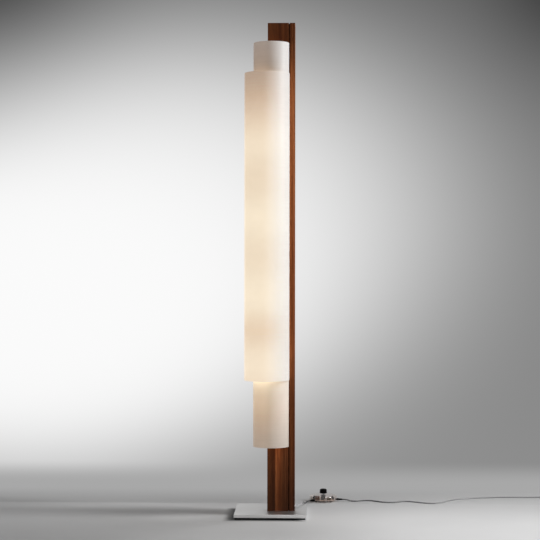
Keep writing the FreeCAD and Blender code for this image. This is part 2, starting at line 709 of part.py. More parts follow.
def lay_on_exit(piece, along):
    """Lay an upright piece on the cord's exit axis, its foot at `along` from the face."""
    piece.Placement = FreeCAD.Placement(exit_axis(value(along)),
                                        FreeCAD.Rotation(upright_axis(), exit_heading()))
    return piece


def side_board():
    """Right-hand board, with the tunnel of the cord."""
    board = post_piece("side", "dim.board_thickness", "dim.post_width", CORE_RIGHT, POST_FRONT,
                       (POST_RIGHT, POST_FRONT))
    tunnel = doc.addObject("Part::Cylinder", "cord_tunnel")
    bind(tunnel, Radius="dim.boot_radius + dim.bore_slack")
    bind(tunnel, Height="dim.tunnel_reach + dim.board_thickness / 2")
    lay_on_exit(tunnel, "-dim.tunnel_reach")
    stop = stop_hole("stop_hole_side", f"{CORE_RIGHT} - dim.cut_over", STOP_Y, STOP_OUTER, "X")
    keep("post_side_board", cut("post_side_board", board, tunnel, stop))


def back_board():
    """Board behind the core."""
    board = post_piece("back", CORE_WIDTH, "dim.board_thickness", POST_LEFT, CORE_BACK,
                       (POST_LEFT, POST_BACK))
    stop = stop_hole("stop_hole_back", STOP_X, f"{CORE_BACK} - dim.cut_over", STOP_OUTER, "Y")
    keep("post_back_board", cut("post_back_board", board, *insert_holes("back_insert", SCREWS_X, 1), stop))


def wiring_cuts():
    """Channel of the trunk, and the holes of the leads and of the bracket screws."""
    cuts = [box("wiring_channel", "dim.channel_width + dim.cut_over", "dim.channel_depth",
                f"{lead_height(BULBS - 1)} - {PLATE_TOP} + dim.channel_width + dim.cut_over",
                CHANNEL_LEFT, CHANNEL_FRONT, CUT_FOOT)]
    for number in range(BULBS):
        cuts.append(rod(f"lead_hole_{number}", "dim.holder_lead_radius + dim.fit_slack",
                        "dim.channel_setback + dim.cut_over", CHANNEL_X, f"{POST_FRONT} - dim.cut_over",
                        lead_height(number), "Y"))
        cuts += [rod(f"pilot_{number}_{side}", "dim.bracket_screw_radius + dim.bore_slack",
                     "dim.bracket_screw_length + dim.cut_over", x, f"{POST_FRONT} - dim.cut_over",
                     bracket_screw_height(number), "Y") for side, x in enumerate(BRACKET_SCREWS_X)]
    return cuts


def left_stave():
    """Left stave of the core, with the groove for both sheets and the wiring channel."""
    stave = post_piece("left", "dim.stave_width", CORE_WIDTH, POST_LEFT, POST_FRONT, (POST_LEFT, POST_FRONT))
    groove = box("left_groove", "dim.groove_depth + dim.cut_over", "dim.groove_width + dim.cut_over",
                 THROUGH_POST, f"{POST_LEFT} - dim.cut_over", GROOVE_Y, CUT_FOOT)
    stop = stop_hole("stop_hole_left", STOP_X, f"{GROOVE_Y} - {STOP_DEPTH}", STOP_INNER, "Y")
    keep("core_stave_left", cut("core_stave_left", stave, groove, foot_recess("recess_left"), stop,
                                *wiring_cuts(), *insert_holes("left_insert", SCREWS_X[:1], 0)))


def right_stave():
    """Right stave of the core, with the groove beside the side board."""
    stave = box("right_blank", f"{CORE_RIGHT} - {STAVE_JOINT}", CORE_WIDTH, POST_HEIGHT,
                STAVE_JOINT, POST_FRONT, PLATE_TOP)
    groove = box("front_groove", "dim.groove_width + dim.cut_over", "dim.groove_depth + dim.cut_over",
                 THROUGH_POST, GROOVE_X, f"{POST_FRONT} - dim.cut_over", CUT_FOOT)
    stop = stop_hole("stop_hole_right", f"{GROOVE_X} - {STOP_DEPTH}", STOP_Y, STOP_INNER, "X")
    keep("core_stave_right", cut("core_stave_right", stave, groove, foot_recess("recess_right"), stop,
                                 *insert_holes("right_insert", SCREWS_X[1:], 0)))


def sector(name, radius, centre, height, bottom, start, sweep):
    """Curled sheet: part of a ring, from `start` degrees over `sweep` degrees."""
    solids = []
    for kind, text in (("outside", f"{radius} + dim.sheet_thickness / 2"),
                       ("inside", f"{radius} - dim.sheet_thickness / 2")):
        piece = doc.addObject("Part::Cylinder", f"{name}_{kind}")
        bind(piece, Radius=text, Height=height)
        if kind == "outside":
            piece.setExpression("Angle", sweep)
        solids.append(place(piece, *centre, bottom, start))
    return cut(name, *solids)


def outer_sheet():
    """Outer sheet: its curl runs straight into both grooves, so it is three quarters of a ring."""
    x, y = f"({OUTER_TAB} - dim.outer_radius)", f"({OUTER_TAB_Y} - dim.outer_radius)"
    thick, high, foot = "dim.sheet_thickness", "dim.outer_height", "dim.outer_bottom"
    curl = sector("outer_curl", "dim.outer_radius", (x, y), high, foot, "90", "270")
    front = box("outer_front_tab", thick, f"{POST_FRONT} + dim.tab_depth - {y}", high,
                f"{OUTER_TAB} - {thick} / 2", y, foot)
    side = box("outer_side_tab", f"{POST_LEFT} + dim.tab_depth - {x}", thick, high,
               x, f"{OUTER_TAB_Y} - {thick} / 2", foot)
    keep("shade_outer", join("shade_outer", curl, front, side))


def inner_sheet():
    """Inner sheet: its curl is tighter, so it is creased where it enters the grooves."""
    thick, high, foot = "dim.sheet_thickness", "dim.inner_height", "dim.inner_bottom"
    mouth = f"({INNER_TAB} - {POST_LEFT})"
    reach = f"(sqrt(dim.inner_radius ^ 2 - {mouth} ^ 2 / 2) / sqrt(2))"
    x, y = f"(({INNER_TAB} + {POST_LEFT}) / 2 - {reach})", f"(({INNER_TAB_Y} + {POST_FRONT}) / 2 - {reach})"
    crease = f"asin(({y} - {POST_FRONT}) / dim.inner_radius) / 1deg"
    curl = sector("inner_curl", "dim.inner_radius", (x, y), high, foot,
                  f"90 + {crease}", f"270 - 2 * {crease}")
    front = box("inner_front_tab", thick, f"dim.tab_depth + {thick} / 2", high,
                f"{INNER_TAB} - {thick} / 2", f"{POST_FRONT} - {thick} / 2", foot)
    side = box("inner_side_tab", f"dim.tab_depth + {thick} / 2", thick, high,
               f"{POST_LEFT} - {thick} / 2", f"{INNER_TAB_Y} - {thick} / 2", foot)
    keep("shade_inner", join("shade_inner", curl, front, side))


def stop_pins():
    """Dowels that the sheets stand on, inside the grooves."""
    outer_reach = "(dim.sheet_slack + dim.sheet_thickness + 2 * dim.bore_slack)"
    outer = f"dim.pin_set + {outer_reach}"
    inner = "dim.pin_set + dim.groove_width - dim.sheet_slack"
    pins = (("outer_side", outer, f"{CORE_RIGHT} - {outer_reach}", STOP_Y, STOP_OUTER, "X"),
            ("outer_back", outer, STOP_X, f"{CORE_BACK} - {outer_reach}", STOP_OUTER, "Y"),
            ("inner_right", inner, f"{GROOVE_X} - dim.pin_set", STOP_Y, STOP_INNER, "X"),
            ("inner_left", inner, STOP_X, f"{GROOVE_Y} - dim.pin_set", STOP_INNER, "Y"))
    rods = [rod(f"stop_{name}", "dim.pin_radius", long, x, y, z, along)
            for name, long, x, y, z, along in pins]
    keep("shade_stop_pins", group("shade_stop_pins", rods))


def bulbs():
    """Slim bulbs, each with a screw cap in the well of its holder."""
    caps = []
    bottom, top = "-dim.bulb_length / 2", "dim.bulb_length / 2"
    glass = (("0", bottom), ("dim.bulb_neck", bottom), ("dim.bulb_neck", f"{bottom} + dim.bulb_neck_length"),
             ("dim.bulb_radius", f"{bottom} + dim.bulb_shoulder"), ("dim.bulb_radius", top), ("0", top))
    for number in range(BULBS):
        body = turned(f"bulb_{number + 1}", glass)
        doc.recompute()
        end = value(top)
        rounded(body, body.Tip, "dim.bulb_dome", lambda edge: level(edge, end) and edge.Length > end)
        place(body, BULB_X, BULB_Y, bulb_height(number))
        keep(f"bulb_{number + 1}", body)
        caps.append(rod(f"bulb_cap_{number}", "dim.cap_radius", "dim.holder_well", BULB_X, BULB_Y,
                        f"{bulb_height(number)} - dim.bulb_length / 2 - dim.holder_well"))
    keep("bulb_caps", group("bulb_caps", caps))


def lampholders():
    """Turned holders that stand on the brackets."""
    bore, well = NIPPLE_BORE, "dim.cap_radius + 2 * dim.fit_slack"
    floor = "dim.holder_height - dim.holder_well"
    shape = ((bore, "0"), ("dim.holder_foot_radius", "0"), ("dim.holder_foot_radius", "dim.holder_step"),
             ("dim.holder_radius", "dim.holder_step + dim.holder_radius - dim.holder_foot_radius"),
             ("dim.holder_radius", "dim.holder_height - dim.bracket_thickness"),
             ("dim.holder_radius - dim.bracket_thickness", "dim.holder_height"),
             (well, "dim.holder_height"), (well, floor), (bore, floor))
    for number in range(BULBS):
        body = turned(f"lampholder_{number + 1}", shape)
        place(body, BULB_X, BULB_Y, shelf_height(number))
        keep(f"lampholder_{number + 1}", body)


def bracket_screw(name, x, high):
    """Pan-head screw that holds a bracket's tab."""
    head = rod(f"{name}_head", "dim.bracket_screw_head", "dim.bracket_screw_top",
               x, f"{BRACKET_FACE} - dim.bracket_screw_top", high, "Y")
    shank = rod(f"{name}_shank", "dim.bracket_screw_radius", "dim.bracket_screw_length",
                x, BRACKET_FACE, high, "Y")
    return join(name, head, shank)


def bracket(name, shelf, high):
    """Bent sheet steel bracket: a shelf with a round end, and a tab on the post."""
    thick, foot = "dim.bracket_thickness", f"{shelf} - dim.bracket_thickness"
    deep = f"{thick} + 2 * dim.cut_over"
    front = f"({BULB_Y} - dim.holder_radius)"
    plate = box(f"{name}_shelf", f"{BRACKET_RIGHT} - {BULB_X}", f"{POST_FRONT} - {front}",
                thick, BULB_X, front, foot)
    end = rod(f"{name}_end", "dim.holder_radius", thick, BULB_X, BULB_Y, foot)
    tab = box(f"{name}_tab", "dim.bracket_width", thick, f"dim.bracket_tab + {thick}",
              BRACKET_LEFT, BRACKET_FACE, foot)
    holes = [rod(f"{name}_screw_hole_{side}", "dim.bracket_screw_radius + dim.bore_slack", deep,
                 x, f"{BRACKET_FACE} - dim.cut_over", high, "Y") for side, x in enumerate(BRACKET_SCREWS_X)]
    holes.append(rod(f"{name}_hole", NIPPLE_BORE, deep, BULB_X, BULB_Y, f"{foot} - dim.cut_over"))
    return cut(f"lamp_{name}", join(f"{name}_blank", plate, end, tab), *holes)


def brackets():
    """Brackets on the front of the post, with two screws each."""
    screws = []
    for number in range(BULBS):
        high, name = bracket_screw_height(number), f"bracket_{number + 1}"
        keep(f"lamp_{name}", bracket(name, shelf_height(number), high))
        screws += [bracket_screw(f"{name}_screw_{side}", x, high) for side, x in enumerate(BRACKET_SCREWS_X)]
    keep("bracket_screws", group("bracket_screws", screws))


def holder_fixings():
    """Threaded tubes that clamp the holders to their shelves, with nuts underneath."""
    nipples, nuts = [], []
    for number in range(BULBS):
        seat = f"({shelf_height(number)} - dim.bracket_thickness - dim.nut_height)"
        foot = f"({seat} - dim.nipple_proud)"
        outside = rod(f"nipple_outside_{number}", "dim.nipple_radius", "dim.nipple_length",
                      BULB_X, BULB_Y, foot)
        inside = rod(f"nipple_inside_{number}", "dim.nipple_bore", "dim.nipple_length + 2 * dim.cut_over",
                     BULB_X, BULB_Y, f"{foot} - dim.cut_over")
        nipples.append(cut(f"holder_nipple_{number}", outside, inside))
        block = nut(f"nut_block_{number}", "dim.nut_width", "dim.nut_height", BULB_X, BULB_Y, seat)
        bore = rod(f"nut_bore_{number}", NIPPLE_BORE, "dim.nut_height + 2 * dim.cut_over",
                   BULB_X, BULB_Y, f"{seat} - dim.cut_over")
        nuts.append(cut(f"holder_nut_{number}", block, bore))
    keep("holder_nipples", group("holder_nipples", nipples))
    keep("holder_nuts", group("holder_nuts", nuts))


def holder_leads():
    """Leads from the channel through the post and up into the holders."""
    start_y = f"{CHANNEL_Y} - dim.trunk_radius - dim.fit_slack"
    leads = []
    for number in range(BULBS):
        high = lead_height(number)
        route = [point(CHANNEL_X, start_y, high), point(CHANNEL_X, BULB_Y, high), point(BULB_X, BULB_Y, high),
                 point(BULB_X, BULB_Y, f"{shelf_height(number)} + dim.holder_lead_end")]
        path = fixed_path(route, value("dim.holder_lead_bend"))
        leads.append(tube(f"holder_lead_{number + 1}", path, value("dim.holder_lead_radius")))
    keep("holder_leads", group("holder_leads", leads))


def wiring_trunk():
    """Bundle in the channel, from the terminal block up to the highest lead."""
    route = [point(TERMINAL_LEFT, CHANNEL_Y, CORD_Z), point(CHANNEL_X, CHANNEL_Y, CORD_Z),
             point(CHANNEL_X, CHANNEL_Y, f"{lead_height(BULBS - 1)} + dim.channel_width / 2")]
    path = fixed_path(route, value("dim.holder_lead_bend"))
    keep("wiring_trunk", tube("wiring_trunk", path, value("dim.trunk_radius")))


def terminal_block():
    """Three-pole terminal block in the foot, with its screw wells."""
    block = box("terminal_blank", "dim.terminal_length", "dim.terminal_width", "dim.terminal_height",
                TERMINAL_LEFT, f"{CHANNEL_Y} - dim.terminal_width / 2", PLATE_TOP)
    rows = (f"{TERMINAL_LEFT} + dim.terminal_screw_inset",
            f"{TERMINAL_LEFT} + dim.terminal_length - dim.terminal_screw_inset")
    deep = "dim.terminal_screw_depth"
    wells = [rod(f"terminal_well_{row}{pole}", "dim.terminal_screw", f"{deep} + dim.cut_over",
                 x, f"{CHANNEL_Y} + {pole} * dim.terminal_pitch",
                 f"{PLATE_TOP} + dim.terminal_height - {deep}")
             for row, x in enumerate(rows) for pole in (-1, 0, 1)]
    keep("terminal_block", cut("terminal_block", block, *wells))


def cord_inner():
    """Inner end of the cord, from the terminal block to the end of its boot."""
    start = point(f"{TERMINAL_LEFT} + dim.terminal_length", CHANNEL_Y, CORD_Z)
    corner = exit_axis((start.y - exit_axis(0).y) / exit_heading().y)
    path = fixed_path([start, corner, exit_axis(value("dim.boot_length"))], value("dim.cord_bend"))
    keep("cord_inner", tube("cord_inner", path, value("dim.cord_radius")))


def ribbed_taper(radius, tip, length):
    """Outline of a boot outside its housing: a collar, and a taper with notches between its ribs."""
    start, floor = "dim.boot_collar", "dim.boot_notch_radius"
    slope = f"({tip} - {radius}) / ({length} - {start})"
    corners = [(radius, start)]
    for number in range(1, BOOT_NOTCHES + 1):
        middle = f"{start} + ({length} - {start}) * {number} / {BOOT_NOTCHES + 1}"
        before, after = f"({middle} - dim.boot_notch / 2)", f"({middle} + dim.boot_notch / 2)"
        corners += [(f"({radius} + {slope} * ({before} - {start}))", before), (floor, before),
                    (floor, after), (f"({radius} + {slope} * ({after} - {start}))", after)]
    return (*corners, (tip, length), (CORD_BORE, length))


def cord_boot():
    """Ribbed sleeve where the cord leaves the post."""
    root = "-dim.boot_root"
    taper = ribbed_taper("dim.boot_radius", "dim.boot_tip_radius", "dim.boot_length")
    body = turned("cord_boot", ((CORD_BORE, root), ("dim.boot_radius", root), *taper))
    keep("cord_boot", lay_on_exit(body, "0"))


def around(circle, turn):
    """Place on a circle round the dimmer's middle, as expressions."""
    return f"{DIMMER_X} + {circle} * cos({turn})", f"{DIMMER_Y} + {circle} * sin({turn})"


def heading_at(turn):
    """Level direction at a turn round the dimmer."""
    angle = math.radians(value(turn))
    return FreeCAD.Vector(math.cos(angle), math.sin(angle), 0)


def cable_point(turn, along):
    """Point of a cable's axis, counted from the dimmer's middle."""
    return point(DIMMER_X, DIMMER_Y, "dim.cable_height") + heading_at(turn) * along


def radial(piece, turn, along):
    """Lay an upright piece on a cable's axis, its foot at `along` from the dimmer's middle."""
    piece.Placement = FreeCAD.Placement(cable_point(turn, value(along)),
                                        FreeCAD.Rotation(upright_axis(), heading_at(turn)))
    return piece


def cable_holes(name):
    """Tools for the two cable holes of the housing."""
    tools = []
    for number, turn in enumerate(("dim.entry_turn", "dim.outlet_turn")):
        tool = doc.addObject("Part::Cylinder", f"{name}_{number}")
        bind(tool, Radius="dim.puck_neck + dim.bore_slack", Height="dim.puck_wall + 4 * dim.cut_over")
        tools.append(radial(tool, turn, "dim.puck_radius - dim.puck_wall - 2 * dim.cut_over"))
    return tools


SCREW_TURNS = [f"(dim.puck_screw_turn + 360 * {number} / {HOUSING_SCREWS})"
               for number in range(HOUSING_SCREWS)]
REST_TURNS = [f"({turn} + 180 / {HOUSING_SCREWS})" for turn in SCREW_TURNS]
SCREW_SPOTS = [around("dim.puck_screw_circle", turn) for turn in SCREW_TURNS]
REST_SPOTS = [around("dim.rest_circle", turn) for turn in REST_TURNS]


def puck_tray():
    """Tray of the foot dimmer, with its screw posts and the rests of the board."""
    seam, inside = "dim.cable_height", "dim.puck_radius - dim.puck_wall"
    tray = turned("tray_cup", (("0", "dim.feet_height"), (inside, "dim.feet_height"),
                               ("dim.puck_radius", TRAY_FLOOR), ("dim.puck_radius", seam),
                               (inside, seam), (inside, TRAY_FLOOR), ("0", TRAY_FLOOR)))
    place(tray, DIMMER_X, DIMMER_Y)
    posts = [rod(f"tray_post_{number}", "dim.post_radius", f"{seam} - {TRAY_FLOOR}", *spot, TRAY_FLOOR)
             for number, spot in enumerate(SCREW_SPOTS)]
    posts += [rod(f"tray_rest_{number}", "dim.post_radius", "dim.board_gap", *spot, TRAY_FLOOR)
              for number, spot in enumerate(REST_SPOTS)]
    bores = [rod(f"tray_screw_bore_{number}", SCREW_BORE, seam, *spot, "dim.feet_height")
             for number, spot in enumerate(SCREW_SPOTS)]
    bores += [rod(f"tray_screw_seat_{number}", "dim.puck_screw_head + dim.bore_slack",
                  "dim.puck_wall + dim.cut_over", *spot, "dim.feet_height - dim.cut_over")
              for number, spot in enumerate(SCREW_SPOTS)]
    blank = join("tray_blank", tray, *posts)
    keep("dimmer_tray", cut("dimmer_tray", blank, *bores, *cable_holes("tray_cable")))


def cover_shell():
    """Turned shell of the cover, with its rounded shoulder and the collar round the bushing."""
    hole, inside = "dim.bushing_radius + dim.bore_slack", "dim.puck_radius - dim.puck_wall"
    seam = "dim.cable_height"
    high, collar = "dim.puck_height", "dim.puck_height + dim.collar_height"
    shell = turned("cover_shell", ((hole, ROOF), (inside, ROOF), (inside, seam), ("dim.puck_radius", seam),
                                   ("dim.puck_radius", high), ("dim.collar_radius", high),
                                   ("dim.collar_radius", collar), (hole, collar)))
    doc.recompute()
    top, roof = value("dim.puck_height"), value(ROOF)
    whole, half = 2 * math.pi * value("dim.puck_radius"), math.pi * value("dim.puck_radius")
    outer = rounded(shell, shell.Tip, "dim.shoulder_radius",
                    lambda edge: level(edge, top) and edge.Length > whole * ALONG_SHARE)
    rounded(shell, outer, "dim.shoulder_radius - dim.puck_wall",
            lambda edge: level(edge, roof) and edge.Length > half)
    return place(shell, DIMMER_X, DIMMER_Y)


def puck_cover():
    """Clear cover of the foot dimmer, with screw posts that end in its shoulder."""
    seam = "dim.cable_height"
    posts = [rod(f"cover_post_{number}", "dim.post_radius",
                 f"dim.puck_screw_length - ({seam} - {TRAY_FLOOR}) + dim.fit_slack", *spot, seam)
             for number, spot in enumerate(SCREW_SPOTS)]
    bores = [rod(f"cover_screw_bore_{number}", SCREW_BORE, "dim.puck_screw_length + dim.fit_slack", *spot,
                 "dim.feet_height") for number, spot in enumerate(SCREW_SPOTS)]
    trimmed = doc.addObject("Part::MultiCommon", "cover_posts")
    hull = rod("cover_hull", "dim.puck_radius - dim.puck_wall / 2", f"{ROOF} + dim.puck_wall / 2 - {seam}",
               DIMMER_X, DIMMER_Y, seam)
    trimmed.Shapes = [hull, join("cover_post_rods", *posts)]
    blank = join("cover_blank", cover_shell(), trimmed)
    keep("dimmer_cover", cut("dimmer_cover", blank, *bores, *cable_holes("cover_cable")))


def puck_fixings():
    """Housing screws in their seats, and rubber feet."""
    screws = []
    for number, spot in enumerate(SCREW_SPOTS):
        head = rod(f"puck_screw_head_{number}", "dim.puck_screw_head", "dim.puck_wall - dim.fit_slack",
                   *spot, "dim.feet_height + dim.fit_slack")
        shank = rod(f"puck_screw_shank_{number}", "dim.puck_screw_radius",
                    "dim.puck_screw_length - dim.puck_wall", *spot, TRAY_FLOOR)
        screws.append(join(f"puck_screw_{number}", head, shank))
    keep("dimmer_screws", group("dimmer_screws", screws))
    turns = [f"(360 * ({number} + 1 / 2) / {HOUSING_FEET})" for number in range(HOUSING_FEET)]
    feet = [rod(f"puck_foot_{number}", "dim.feet_radius", "dim.feet_height", *around("dim.feet_circle", turn))
            for number, turn in enumerate(turns)]
    keep("dimmer_feet", group("dimmer_feet", feet))


def puck_cables():
    """Ribbed boots and cable ends at the entry and at the outlet of the dimmer."""
    back = "-(dim.puck_wall + dim.fit_slack)"
    inner_end = f"({back} - dim.puck_flange)"
    taper = ribbed_taper("dim.puck_boot_radius", "dim.boot_tip_radius", "dim.puck_boot_length")
    shape = ((CORD_BORE, inner_end), ("dim.puck_flange_radius", inner_end), ("dim.puck_flange_radius", back),
             ("dim.puck_neck", back), ("dim.puck_neck", "0"), ("dim.puck_boot_radius", "0"), *taper)
    boots, ends = [], []
    for number, turn in enumerate(("dim.entry_turn", "dim.outlet_turn")):
        boots.append(radial(turned(f"puck_boot_{number}", shape), turn, "dim.puck_radius"))
        cable = doc.addObject("Part::Cylinder", f"cable_end_{number}")
        bind(cable, Radius="dim.cord_radius", Height="dim.cable_inside + dim.puck_boot_length")
        ends.append(radial(cable, turn, "dim.puck_radius - dim.cable_inside"))
    keep("dimmer_boots", group("dimmer_boots", boots))
    keep("dimmer_cable_ends", group("dimmer_cable_ends", ends))


def on_board(name, long, wide, high, x, y, lift=BOARD_TOP):
    """Box on the circuit board, from the middle of its foot."""
    left, front = f"{DIMMER_X} + {x} - ({long}) / 2", f"{DIMMER_Y} + {y} - ({wide}) / 2"
    return box(name, long, wide, high, left, front, lift)


def circuit_board():
    """Round board on its rests."""
    keep("dimmer_board", rod("board_disc", "dim.board_radius", "dim.board_height", DIMMER_X, DIMMER_Y,
                             f"{TRAY_FLOOR} + dim.board_gap"))


def choke():
    """Choke: a winding between the flanges of its bobbin."""
    flange, winding, high = "dim.choke_radius", "dim.choke_winding", "dim.choke_height"
    body = turned("choke_body", (("0", "0"), (flange, "0"), (flange, "dim.choke_flange"),
                                 (winding, "dim.choke_flange"), (winding, f"{high} - dim.choke_flange"),
                                 (flange, f"{high} - dim.choke_flange"), (flange, high), ("0", high)))
    keep("dimmer_choke", place(body, f"{DIMMER_X} + dim.choke_x", f"{DIMMER_Y} + dim.choke_y", BOARD_TOP))


def capacitor():
    """Film capacitor with rounded upright edges."""
    blank = on_board("capacitor_blank", "dim.capacitor_length", "dim.capacitor_width", "dim.capacitor_height",
                     "dim.capacitor_x", "dim.capacitor_y")
    keep("dimmer_capacitor", eased("capacitor_eased", blank, "dim.capacitor_round", upright))


def heat_sink():
    """Finned heat sink."""
    blank = on_board("sink_blank", "dim.sink_length", "dim.sink_width", "dim.sink_height",
                     "dim.sink_x", "dim.sink_y")
    gaps = [on_board(f"sink_gap_{number}", "dim.fin_gap", "dim.sink_width + 2 * dim.cut_over",
                     "dim.sink_height", f"dim.sink_x + {number} * 2 * dim.fin_gap", "dim.sink_y",
                     f"{BOARD_TOP} + dim.sink_base") for number in (-1, 0, 1)]
    keep("dimmer_heatsink", cut("dimmer_heatsink", blank, *gaps))


def board_terminals():
    """Terminal blocks of the supply and of the lamp, stepped on the side of their wires."""
    blocks = []
    wide, high, deep = "dim.puck_terminal_width", "dim.puck_terminal_height", "dim.puck_terminal_step"
    reach = f"(dim.puck_terminal_length - {deep}) / 2"
    for name, x, y, sign in (("supply", "dim.supply_terminals_x", "dim.supply_terminals_y", "+"),
                             ("lamp", "dim.lamp_terminals_x", "dim.lamp_terminals_y", "-")):
        blank = on_board(f"{name}_terminal_blank", "dim.puck_terminal_length", wide, high, x, y)
        step = on_board(f"{name}_terminal_step", deep, f"{wide} + 2 * dim.cut_over", high,
                        f"{x} {sign} {reach}", y, f"{BOARD_TOP} + {high} - {deep}")
        blocks.append(cut(f"{name}_terminals", blank, step))
    keep("dimmer_terminals", group("dimmer_terminals", blocks))


def potentiometer():
    """Potentiometer with a push switch: its case, threaded bushing and nut."""
    floor = f"(dim.shaft_foot - {PLUNGER_REACH} - dim.press_travel - 2 * dim.bore_slack)"
    case = on_board("pot_case", "dim.pot_width", "dim.pot_width", f"{ROOF} - {BOARD_TOP}", "0", "0")
    bushing = rod("pot_bushing", "dim.bushing_radius", f"{BUSHING_TOP} - {ROOF}", DIMMER_X, DIMMER_Y, ROOF)
    well = rod("pot_bore", "dim.shaft_radius + dim.bore_slack", f"{BUSHING_TOP} - {floor} + dim.cut_over",
               DIMMER_X, DIMMER_Y, floor)
    keep("dimmer_pot", cut("dimmer_pot", join("pot_blank", case, bushing), well))
    seat = "(dim.puck_height + dim.collar_height)"
    block = nut("bushing_nut_block", "dim.bushing_nut_width", "dim.bushing_nut_height",
                DIMMER_X, DIMMER_Y, seat)
    hole = rod("bushing_nut_bore", "dim.bushing_radius + dim.bore_slack",
               "dim.bushing_nut_height + 2 * dim.cut_over", DIMMER_X, DIMMER_Y, f"{seat} - dim.cut_over")
    keep("dimmer_nut", cut("dimmer_nut", block, hole))


def switch_plunger():
    """Plunger under the shaft: a head that fills the bore, on a thinner stem."""
    head, stem, tip = "dim.shaft_radius - 2 * dim.bore_slack", "dim.plunger_radius", f"-{PLUNGER_REACH}"
    body = turned("plunger_body", (("0", tip), (stem, tip), (stem, "-dim.plunger_head"),
                                   (head, "-dim.plunger_head"), (head, "0"), ("0", "0")))
    keep("switch_plunger", place(body, DIMMER_X, DIMMER_Y, "dim.shaft_foot"))


def shaft():
    """Shaft with a flat where the knob grips it."""
    hub = f"({KNOB_RIM} + dim.knob_hub_rise)"
    stock = rod("shaft_rod", "dim.shaft_radius", f"{SHAFT_TOP} - dim.shaft_foot",
                DIMMER_X, DIMMER_Y, "dim.shaft_foot")
    flat = box("shaft_flat_cut", "dim.shaft_radius", "2 * dim.shaft_radius",
               f"{SHAFT_TOP} - {hub} + dim.cut_over", f"{DIMMER_X} + dim.shaft_flat",
               f"{DIMMER_Y} - dim.shaft_radius", hub)
    keep("dimmer_shaft", cut("dimmer_shaft", stock, flat))


def knob_body():
    """Turned knob: a hub inside a skirt, with a rounded top edge."""
    hub, hollow, high = "dim.knob_hub", "dim.knob_radius - dim.knob_wall", "dim.knob_height"
    body = turned("knob_body", (("0", "dim.knob_hub_rise"), (hub, "dim.knob_hub_rise"),
                                (hub, "dim.knob_hollow"), (hollow, "dim.knob_hollow"), (hollow, "0"),
                                ("dim.knob_radius", "0"), ("dim.knob_top_radius", high), ("0", high)))
    doc.recompute()
    top = value(high)
    rounded(body, body.Tip, "dim.knob_fillet", lambda edge: level(edge, top) and edge.Length > top)
    return place(body, DIMMER_X, DIMMER_Y, KNOB_RIM)


def knob():
    """Fluted knob with a flatted bore."""
    bore = rod("knob_bore", "dim.shaft_radius + dim.bore_slack", f"{SHAFT_TOP} - {KNOB_RIM} + dim.bore_slack",
               DIMMER_X, DIMMER_Y, KNOB_RIM)
    key = box("knob_key", "dim.knob_hub", "2 * dim.knob_hub", "dim.knob_height",
              f"{DIMMER_X} + dim.shaft_flat + dim.bore_slack", f"{DIMMER_Y} - dim.knob_hub", KNOB_RIM)
    turns = [f"({number} * 360 / dim.flute_count)" for number in range(int(value("dim.flute_count")))]
    flutes = [rod(f"flute_{number}", "dim.flute_radius", "dim.knob_height + 2 * dim.cut_over",
                  *around("dim.knob_radius", turn), f"{KNOB_RIM} - dim.cut_over")
              for number, turn in enumerate(turns)]
    keep("dimmer_knob", cut("dimmer_knob", knob_body(), cut("knob_d_bore", bore, key),
                            join("knob_flutes", *flutes)))


# Route of the lead over the plate to the dimmer, and of the mains cord to the coil, as laid by hand.
LEAD_ROUTE = ((106.5, 66, 25), (112.5, 86, 25.2), (117.5, 107, 25.6), (120.5, 127, 25.4), (122.5, 146, 20.5),
              (123.8, 164, 12), (123.6, 182, 5.8), (123.4, 200, 3), (124.4, 218, 3), (127.8, 236.5, 5.6))
MAINS_ROUTE = ((299, 294.2, 4.2), (322, 298.5, 2.6), (347, 313, 2.6), (373, 318.5, 2.6), (398.5, 300.5, 2.6),
               (424, 277, 2.6), (456, 268.5, 2.6), (487, 287, 2.6), (516, 303.5, 2.6), (549, 287, 2.6),
               (585, 257.5, 2.6), (620, 250, 2.6), (652, 275, 2.6), (680, 316, 2.6), (714, 357, 2.6),
               (762, 382.5, 2.6), (818, 400, 2.6), (873, 414, 2.6), (938, 419, 2.6), (1003, 417, 2.6),
               (1056, 417, 3.9))
TAIL_ROUTE = ((1131, 417, 9.5), (1149.5, 412, 8.2), (1165, 409, 7.1))

def cord(name, points):
    """Free stretch of the cord along its points."""
    path, radii = run_path(points)
    print(f"{name}: radii {', '.join(str(round(radius)) for radius in radii)}")
    return keep(name, tube(name, path, value("dim.cord_radius")))


def free_cords():
    """Lead to the dimmer, mains cord to the coil, and the tail from the coil to the plug."""
    boot = value("dim.puck_radius + dim.puck_boot_length")
    straight = boot + value("dim.cable_lead")
    lead, mains, tail = ([FreeCAD.Vector(*spot) for spot in route]
                         for route in (LEAD_ROUTE, MAINS_ROUTE, TAIL_ROUTE))
    cord("cord_lead", [exit_axis(value("dim.boot_length")), *lead,
                       cable_point("dim.entry_turn", straight), cable_point("dim.entry_turn", boot)])
    cord("cord_mains", [cable_point("dim.outlet_turn", boot), cable_point("dim.outlet_turn", straight),
                        *mains, coil_end(0)])
    cord("cord_tail", [coil_end(1), *tail,
                       point("dim.plug_x - dim.plug_boot_length", "dim.plug_y", PLUG_AXIS)])


def coil_end(layer):
    """End of the coil, one diameter before its first turn or after its last."""
    step = value("2 * dim.cord_radius") * (2 * layer - 1)
    high = f"dim.coil_base + {layer} * dim.coil_rise"
    return point("dim.coil_x", "dim.coil_y - dim.coil_radius", high) + FreeCAD.Vector(step, 0, 0)


